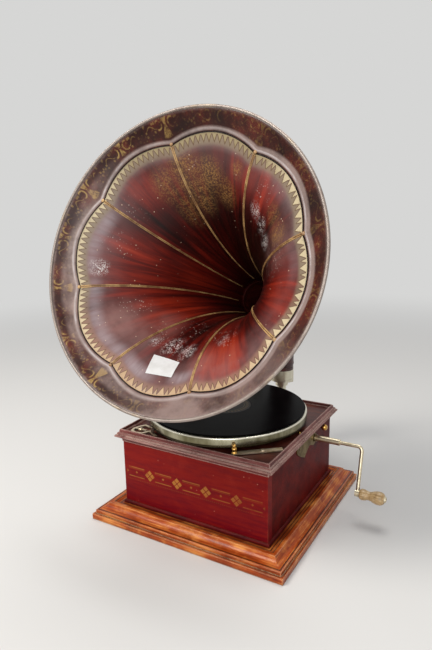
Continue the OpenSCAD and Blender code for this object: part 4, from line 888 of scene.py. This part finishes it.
def grid_faces(rows, cols, first=0, flip=False, closed=False):
    faces = []
    for j in range(rows - 1):
        for i in range(cols if closed else cols - 1):
            k = (i + 1) % cols
            a, b = first + j * cols + i, first + j * cols + k
            quad = (a, b, b + cols, a + cols)
            faces.append(quad[::-1] if flip else quad)
    return faces


def horn_bell():
    """Eight petals of painted sheet, each with its own columns so that its paint has clean edges."""
    cols, rows = 25, 78
    points, faces, slots = [], [], []
    uvs = {"panel": [], "edge": [], "mouth": []}
    steps = [-1.0] + [(j / (rows - 2)) ** 0.85 for j in range(rows - 1)]
    for k in range(PETALS):
        for side, out in ((0, 0.0), (1, SHEET)):
            first = len(points)
            grid = []
            for s in steps:
                for i in range(cols):
                    t = 2 * i / (cols - 1) - 1
                    angle = math.radians(PHASE + (k + i / (cols - 1)) * 360 / PETALS)
                    grid.append(bell_point(angle, t, s, out))
            lengths = [0.0] * len(grid)
            for j in range(len(steps) - 2, -1, -1):
                for i in range(cols):
                    a, b = j * cols + i, (j + 1) * cols + i
                    lengths[a] = lengths[b] + (grid[a] - grid[b]).length
            for j, s in enumerate(steps):
                for i in range(cols):
                    n = j * cols + i
                    uvs["panel"].append((PANEL_STEP * k + i / (cols - 1), max(s, 0)))
                    uvs["edge"].append((TEETH_PER_PETAL * i / (cols - 1), lengths[n]))
                    uvs["mouth"].append((grid[n].x, grid[n].y))
            points += grid
            new = grid_faces(len(steps), cols, first, flip=side == 0)
            faces += new
            slots += [side] * len(new)
        inner = len(points) - 2 * len(steps) * cols
        outer = inner + len(steps) * cols
        for row, flip in ((0, True), (len(steps) - 1, False)):
            for i in range(cols - 1):
                a = inner + row * cols + i
                b = outer + row * cols + i
                quad = (a, a + 1, b + 1, b)
                faces.append(quad[::-1] if flip else quad)
                slots.append(1)
    mats = [horn_inside(), materials["horn_paint"]]
    return build("horn_bell_petals", points, faces, mats, slots, uvs, at=mouth)


def seam_row(turn, s):
    """Points of a seam's profile at one place along the flare: two ridges with a valley between them."""
    dd, dr = slope(BEZ_D, s), slope(BEZ_R, s)
    long = math.hypot(dd, dr)
    half = 0.6 + 1.1 * s
    top = 0.7 + 0.5 * s
    side = [(1.25, -0.25), (1.05, top * 0.55), (0.72, top), (0.36, top * 0.82), (0.16, 0.12)]
    profile = [(-half * across, up) for across, up in side]
    profile += [(half * across, up) for across, up in side[::-1]]
    points = []
    for across, up in profile:
        r = bez(BEZ_R, s) + up * dd / long
        d = bez(BEZ_D, s) - up * dr / long
        points.append(turn @ Vector((r, across, -d)) * MM)
    return points


def solder_dot(turn, sides, rings):
    """Low dome where a seam meets the rim."""
    centre = turn @ Vector((bez(BEZ_R, 1.0) + 1.6, 0, 1.0 - bez(BEZ_D, 1.0)))
    wide, deep, high = DOT
    points = []
    for j in range(rings):
        b = math.pi / 2 * j / (rings - 1)
        for i in range(sides):
            c = math.tau * i / sides
            x = wide * math.cos(b) * math.cos(c)
            y = deep * math.cos(b) * math.sin(c)
            points.append((centre + Vector((x, y, high * math.sin(b)))) * MM)
    return points


def horn_seams():
    """Raised cream seam with a dark line in it on every joint of the petals."""
    rows, sides, rings = 70, 12, 5
    points, faces, slots = [], [], []
    for k in range(PETALS):
        turn = Matrix.Rotation(math.radians(PHASE + k * 360 / PETALS), 3, "Z")
        new = grid_faces(rows, 10, len(points), flip=True)
        faces += new
        slots += [1 if n % 9 == 4 else 0 for n in range(len(new))]
        for j in range(rows):
            points += seam_row(turn, 0.02 + 0.975 * j / (rows - 1))
        new = grid_faces(rings, sides, len(points), closed=True)
        faces += new
        slots += [0] * len(new)
        points += solder_dot(turn, sides, rings)
    mats = [materials["horn_gold"], cream_line("seam_valley", "#4a2a18", "#2c130b", "#1c0906")]
    return build("horn_seam_ridges", points, faces, mats, slots, at=mouth)


def rim_depth(r):
    """Depth of the rim's profile at a radius."""
    return bez(RIM_D, reach(lambda s: bez(RIM_R, s), r))


def horn_rim():
    """Rolled band outside the petals: a raised ridge and a dark crease follow their scalloped edge."""
    cols = 512
    outs = [-1.0, 0.0, 0.35, 0.8, 1.2, 1.7, 2.3, 3.0, 3.8, 4.7, 5.7, 6.8, 7.9, 9.0, 10.2, 11.4]
    points, faces, slots = [], [], []
    uvs = {"band": [], "ridge": [], "mouth": []}
    fixed = 12
    count = len(outs) + fixed
    share = 360 / ORNAMENTS
    length = math.radians(share) * RIM_MIDDLE_R * MM
    for side in (0, 1):
        for i in range(cols):
            angle = math.tau * i / cols
            form = petal_form(across_petal(math.degrees(angle)))
            edge = bez(BEZ_R, 1.0) * (1 + SWELL * form)
            edge_d = bez(BEZ_D, 1.0) - DISH * form
            last = edge + outs[-1]
            radii = [edge + o for o in outs]
            radii += [last + (RIM_R[3] - last) * (n + 1) / fixed for n in range(fixed)]
            for r in radii:
                o = r - edge
                base = rim_depth(min(max(r, RIM_R[0]), RIM_R[3]))
                blend = max(0.0, 1 - max(o, 0) / 5.0)
                d = base + (edge_d - base) * blend
                crease = hump(o, *CREASE)
                d += crease - hump(o, *RIDGE)
                if side:
                    d += SHEET + RIM_GAP + crease
                points.append(Vector((r * math.cos(angle), r * math.sin(angle), -d)) * MM)
                turned = (math.degrees(angle) - PHASE + share / 2) % share - share / 2
                group = math.radians(turned) * RIM_MIDDLE_R
                uvs["band"].append((group * MM, (r - RIM_MIDDLE_R) * MM))
                uvs["ridge"].append((o * MM, 0.0))
                uvs["mouth"].append((points[-1].x, points[-1].y))
    for side in (0, 1):
        first = side * cols * count
        for i in range(cols):
            k = (i + 1) % cols
            for j in range(count - 1):
                a, b = first + i * count + j, first + k * count + j
                quad = (a, a + 1, b + 1, b)
                faces.append(quad if side == 0 else quad[::-1])
                slots.append(side)
    mats = [rim_paint(), materials["horn_paint"]]
    obj = build("horn_rim_band", points, faces, mats, slots, uvs, at=mouth)
    # faces between two ornaments take their place from one of them
    data = obj.data.uv_layers["band"].data
    for poly in obj.data.polygons:
        us = [data[n].uv[0] for n in poly.loop_indices]
        if max(us) - min(us) > length / 2:
            for n in poly.loop_indices:
                u, v = data[n].uv
                data[n].uv = (u + length if u < 0 else u, v)
    return obj


def horn_bead():
    """Wire rolled into the edge, a hair thinner than the solid one."""
    cols, sides = 360, 18
    wire = BEAD_R - 0.03
    points = []
    for i in range(cols):
        a = math.tau * i / cols
        for j in range(sides):
            b = math.tau * j / sides
            r = HORN_R - BEAD_R + wire * math.cos(b)
            points.append(Vector((r * math.cos(a), r * math.sin(a), -BEAD_R + wire * math.sin(b))) * MM)
    faces = []
    for i in range(cols):
        k = (i + 1) % cols
        for j in range(sides):
            m = (j + 1) % sides
            faces.append((i * sides + j, k * sides + j, k * sides + m, i * sides + m))
    return build("horn_rolled_bead", points, faces, [bead_paint()], at=mouth)


def horn_elbow():
    """Bent pipe with a raised lengthwise seam at the back and a bead at each end."""
    sides, rows = 72, 64
    points = []
    for j in range(rows):
        u = j / (rows - 1)
        a = math.radians(u * (90 - HORN_TILT))
        r = ELBOW_FOOT_R + (NECK_R - ELBOW_FOOT_R) * u + SHEET
        ends = hump(u, 0.035, 0.012, 1.1) + hump(u, 0.93, 0.01, 1.1)
        for i in range(sides):
            b = math.tau * i / sides
            out = r + ends + hump(i, sides / 4, 0.9, 0.9)
            side = out * math.cos(b)
            rise = out * math.sin(b)
            y = -ELBOW_R * (1 - math.cos(a)) + rise * math.cos(a)
            z = ELBOW_FOOT_Z + ELBOW_R * math.sin(a) + rise * math.sin(a)
            points.append(Vector((side, y, z)) * MM)
    faces = grid_faces(rows, sides, closed=True)
    obj = build("horn_elbow_pipe", points, faces, [materials["horn_paint"]], at=stand)
    wall = obj.modifiers.new("Wall", "SOLIDIFY")
    wall.thickness = SHEET * MM
    wall.offset = -1
    return obj


def blank_sticker():
    """Blank paper laid on the lower left petals: each point's depth is the bell's at its radius."""
    cols, rows = 13, 9
    points = []
    for j in range(rows):
        for i in range(cols):
            top = STICKER[0].lerp(STICKER[1], i / (cols - 1))
            low = STICKER[3].lerp(STICKER[2], i / (cols - 1))
            x, y = top.lerp(low, j / (rows - 1))
            form = petal_form(across_petal(math.degrees(math.atan2(y, x))))
            at = reach(lambda s: bez(BEZ_R, s) * (1 + SWELL * form * s ** 0.8), math.hypot(x, y))
            depth = bez(BEZ_D, at) - DISH * form * at ** 4
            points.append(Vector((x, y, STICKER_LIFT - depth)) * MM)
    return build("blank_sticker", points, grid_faces(rows, cols, flip=True), [sticker_paper()], at=mouth)


bell = horn_bell()
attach(bell, "horn")
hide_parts("horn_bell")
seams = horn_seams()
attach(seams, "horn")
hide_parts("horn_seams")
rim = horn_rim()
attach(rim, "horn")
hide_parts("horn_rim")
bead = horn_bead()
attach(bead, "horn")
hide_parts("horn_bead")
elbow = horn_elbow()
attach(elbow, "horn")
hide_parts("horn_elbow")
sticker = blank_sticker()
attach(sticker, "horn")


# Camera solved from the photograph

AZIMUTH, ELEVATION, ROLL = 30.753, 11.955, -1.1286
CAMERA_PLACE = (0.40755, -0.72815, 0.47183)
LENS, SENSOR = 30.238, 36
az, el, ro = (math.radians(v) for v in (AZIMUTH, ELEVATION, ROLL))
back = Vector((math.sin(az) * math.cos(el), -math.cos(az) * math.cos(el), math.sin(el)))
right = (-back).cross(Vector((0, 0, 1))).normalized()
up = right.cross(-back)
cam_x = right * math.cos(ro) + up * math.sin(ro)
cam_y = up * math.cos(ro) - right * math.sin(ro)
camera = bpy.data.objects.new("camera", bpy.data.cameras.new("camera"))
bpy.context.scene.collection.objects.link(camera)
turn = Matrix((cam_x, cam_y, back)).transposed().to_4x4()
camera.matrix_world = Matrix.Translation(CAMERA_PLACE) @ turn
camera.data.sensor_width = SENSOR
camera.data.lens = LENS
camera.data.clip_start = 0.01
bpy.context.scene.camera = camera


# Floor, world and lights

FLOOR_R, FLOOR_SIDES, FLOOR_Z = 6.0, 96, -0.0004
AIR = "#d6d6d5"
AMBIENT = (0.30, 0.31, 0.33, 1)


def floor_material():
    """Pale floor near the object that keeps its shadow, and the backdrop's own colour far from it."""
    s = Shader("floor_pale")
    x, y, _ = s.split(s.place())
    r = s.math("SQRT", s.plus(s.times(x, x), s.times(y, y)))
    lit = s.node("ShaderNodeBsdfDiffuse", {"Color": "#d9d7d3"})
    air = s.node("ShaderNodeEmission", {"Color": AIR, "Strength": 1.0})
    far = s.step(r, 0.7, 2.4)
    return s.show(s.node("ShaderNodeMixShader", {0: far, 1: lit.outputs[0], 2: air.outputs[0]}))


def studio_world():
    """The backdrop's colour for the camera, mirrors and glass, and a softer light for all else."""
    s = Shader("studio", "worlds", "ShaderNodeOutputWorld")
    rays = s.node("ShaderNodeLightPath").outputs
    seen = s.most(rays["Is Camera Ray"], rays["Is Transmission Ray"])
    seen = s.most(seen, rays["Is Glossy Ray"])
    pale = s.node("ShaderNodeBackground", {"Color": AIR})
    ambient = s.node("ShaderNodeBackground", {"Color": AMBIENT})
    return s.show(s.node("ShaderNodeMixShader", {0: seen, 1: ambient.outputs[0], 2: pale.outputs[0]}))


def floor_disc():
    steps = [math.tau * i / FLOOR_SIDES for i in range(FLOOR_SIDES)]
    points = [Vector((0, 0, FLOOR_Z))]
    points += [Vector((FLOOR_R * math.cos(a), FLOOR_R * math.sin(a), FLOOR_Z)) for a in steps]
    faces = [(0, 1 + i, 1 + (i + 1) % FLOOR_SIDES) for i in range(FLOOR_SIDES)]
    return build("floor", points, faces, [floor_material()], smooth=False)


floor = floor_disc()
bpy.context.scene.world = studio_world()


def area_light(name, place, aim, size, power, colour=(1, 1, 1)):
    data = bpy.data.lights.new(name, "AREA")
    data.size = size
    data.energy = power
    data.color = colour
    obj = bpy.data.objects.new(name, data)
    obj.location = place
    obj.rotation_euler = (Vector(aim) - Vector(place)).to_track_quat("-Z", "Y").to_euler()
    bpy.context.scene.collection.objects.link(obj)


area_light("key", (-0.9, -1.5, 1.9), (0, 0, 0.25), 0.9, 42, (1, 0.97, 0.93))
area_light("fill", (0.9, -2.0, 0.9), (0, 0, 0.3), 1.4, 24, (0.96, 0.98, 1))
area_light("top", (0.1, 0.5, 2.2), (0, 0, 0.2), 1.0, 16)

view = bpy.context.scene.view_settings
view.view_transform = "Standard"
view.look = "None"
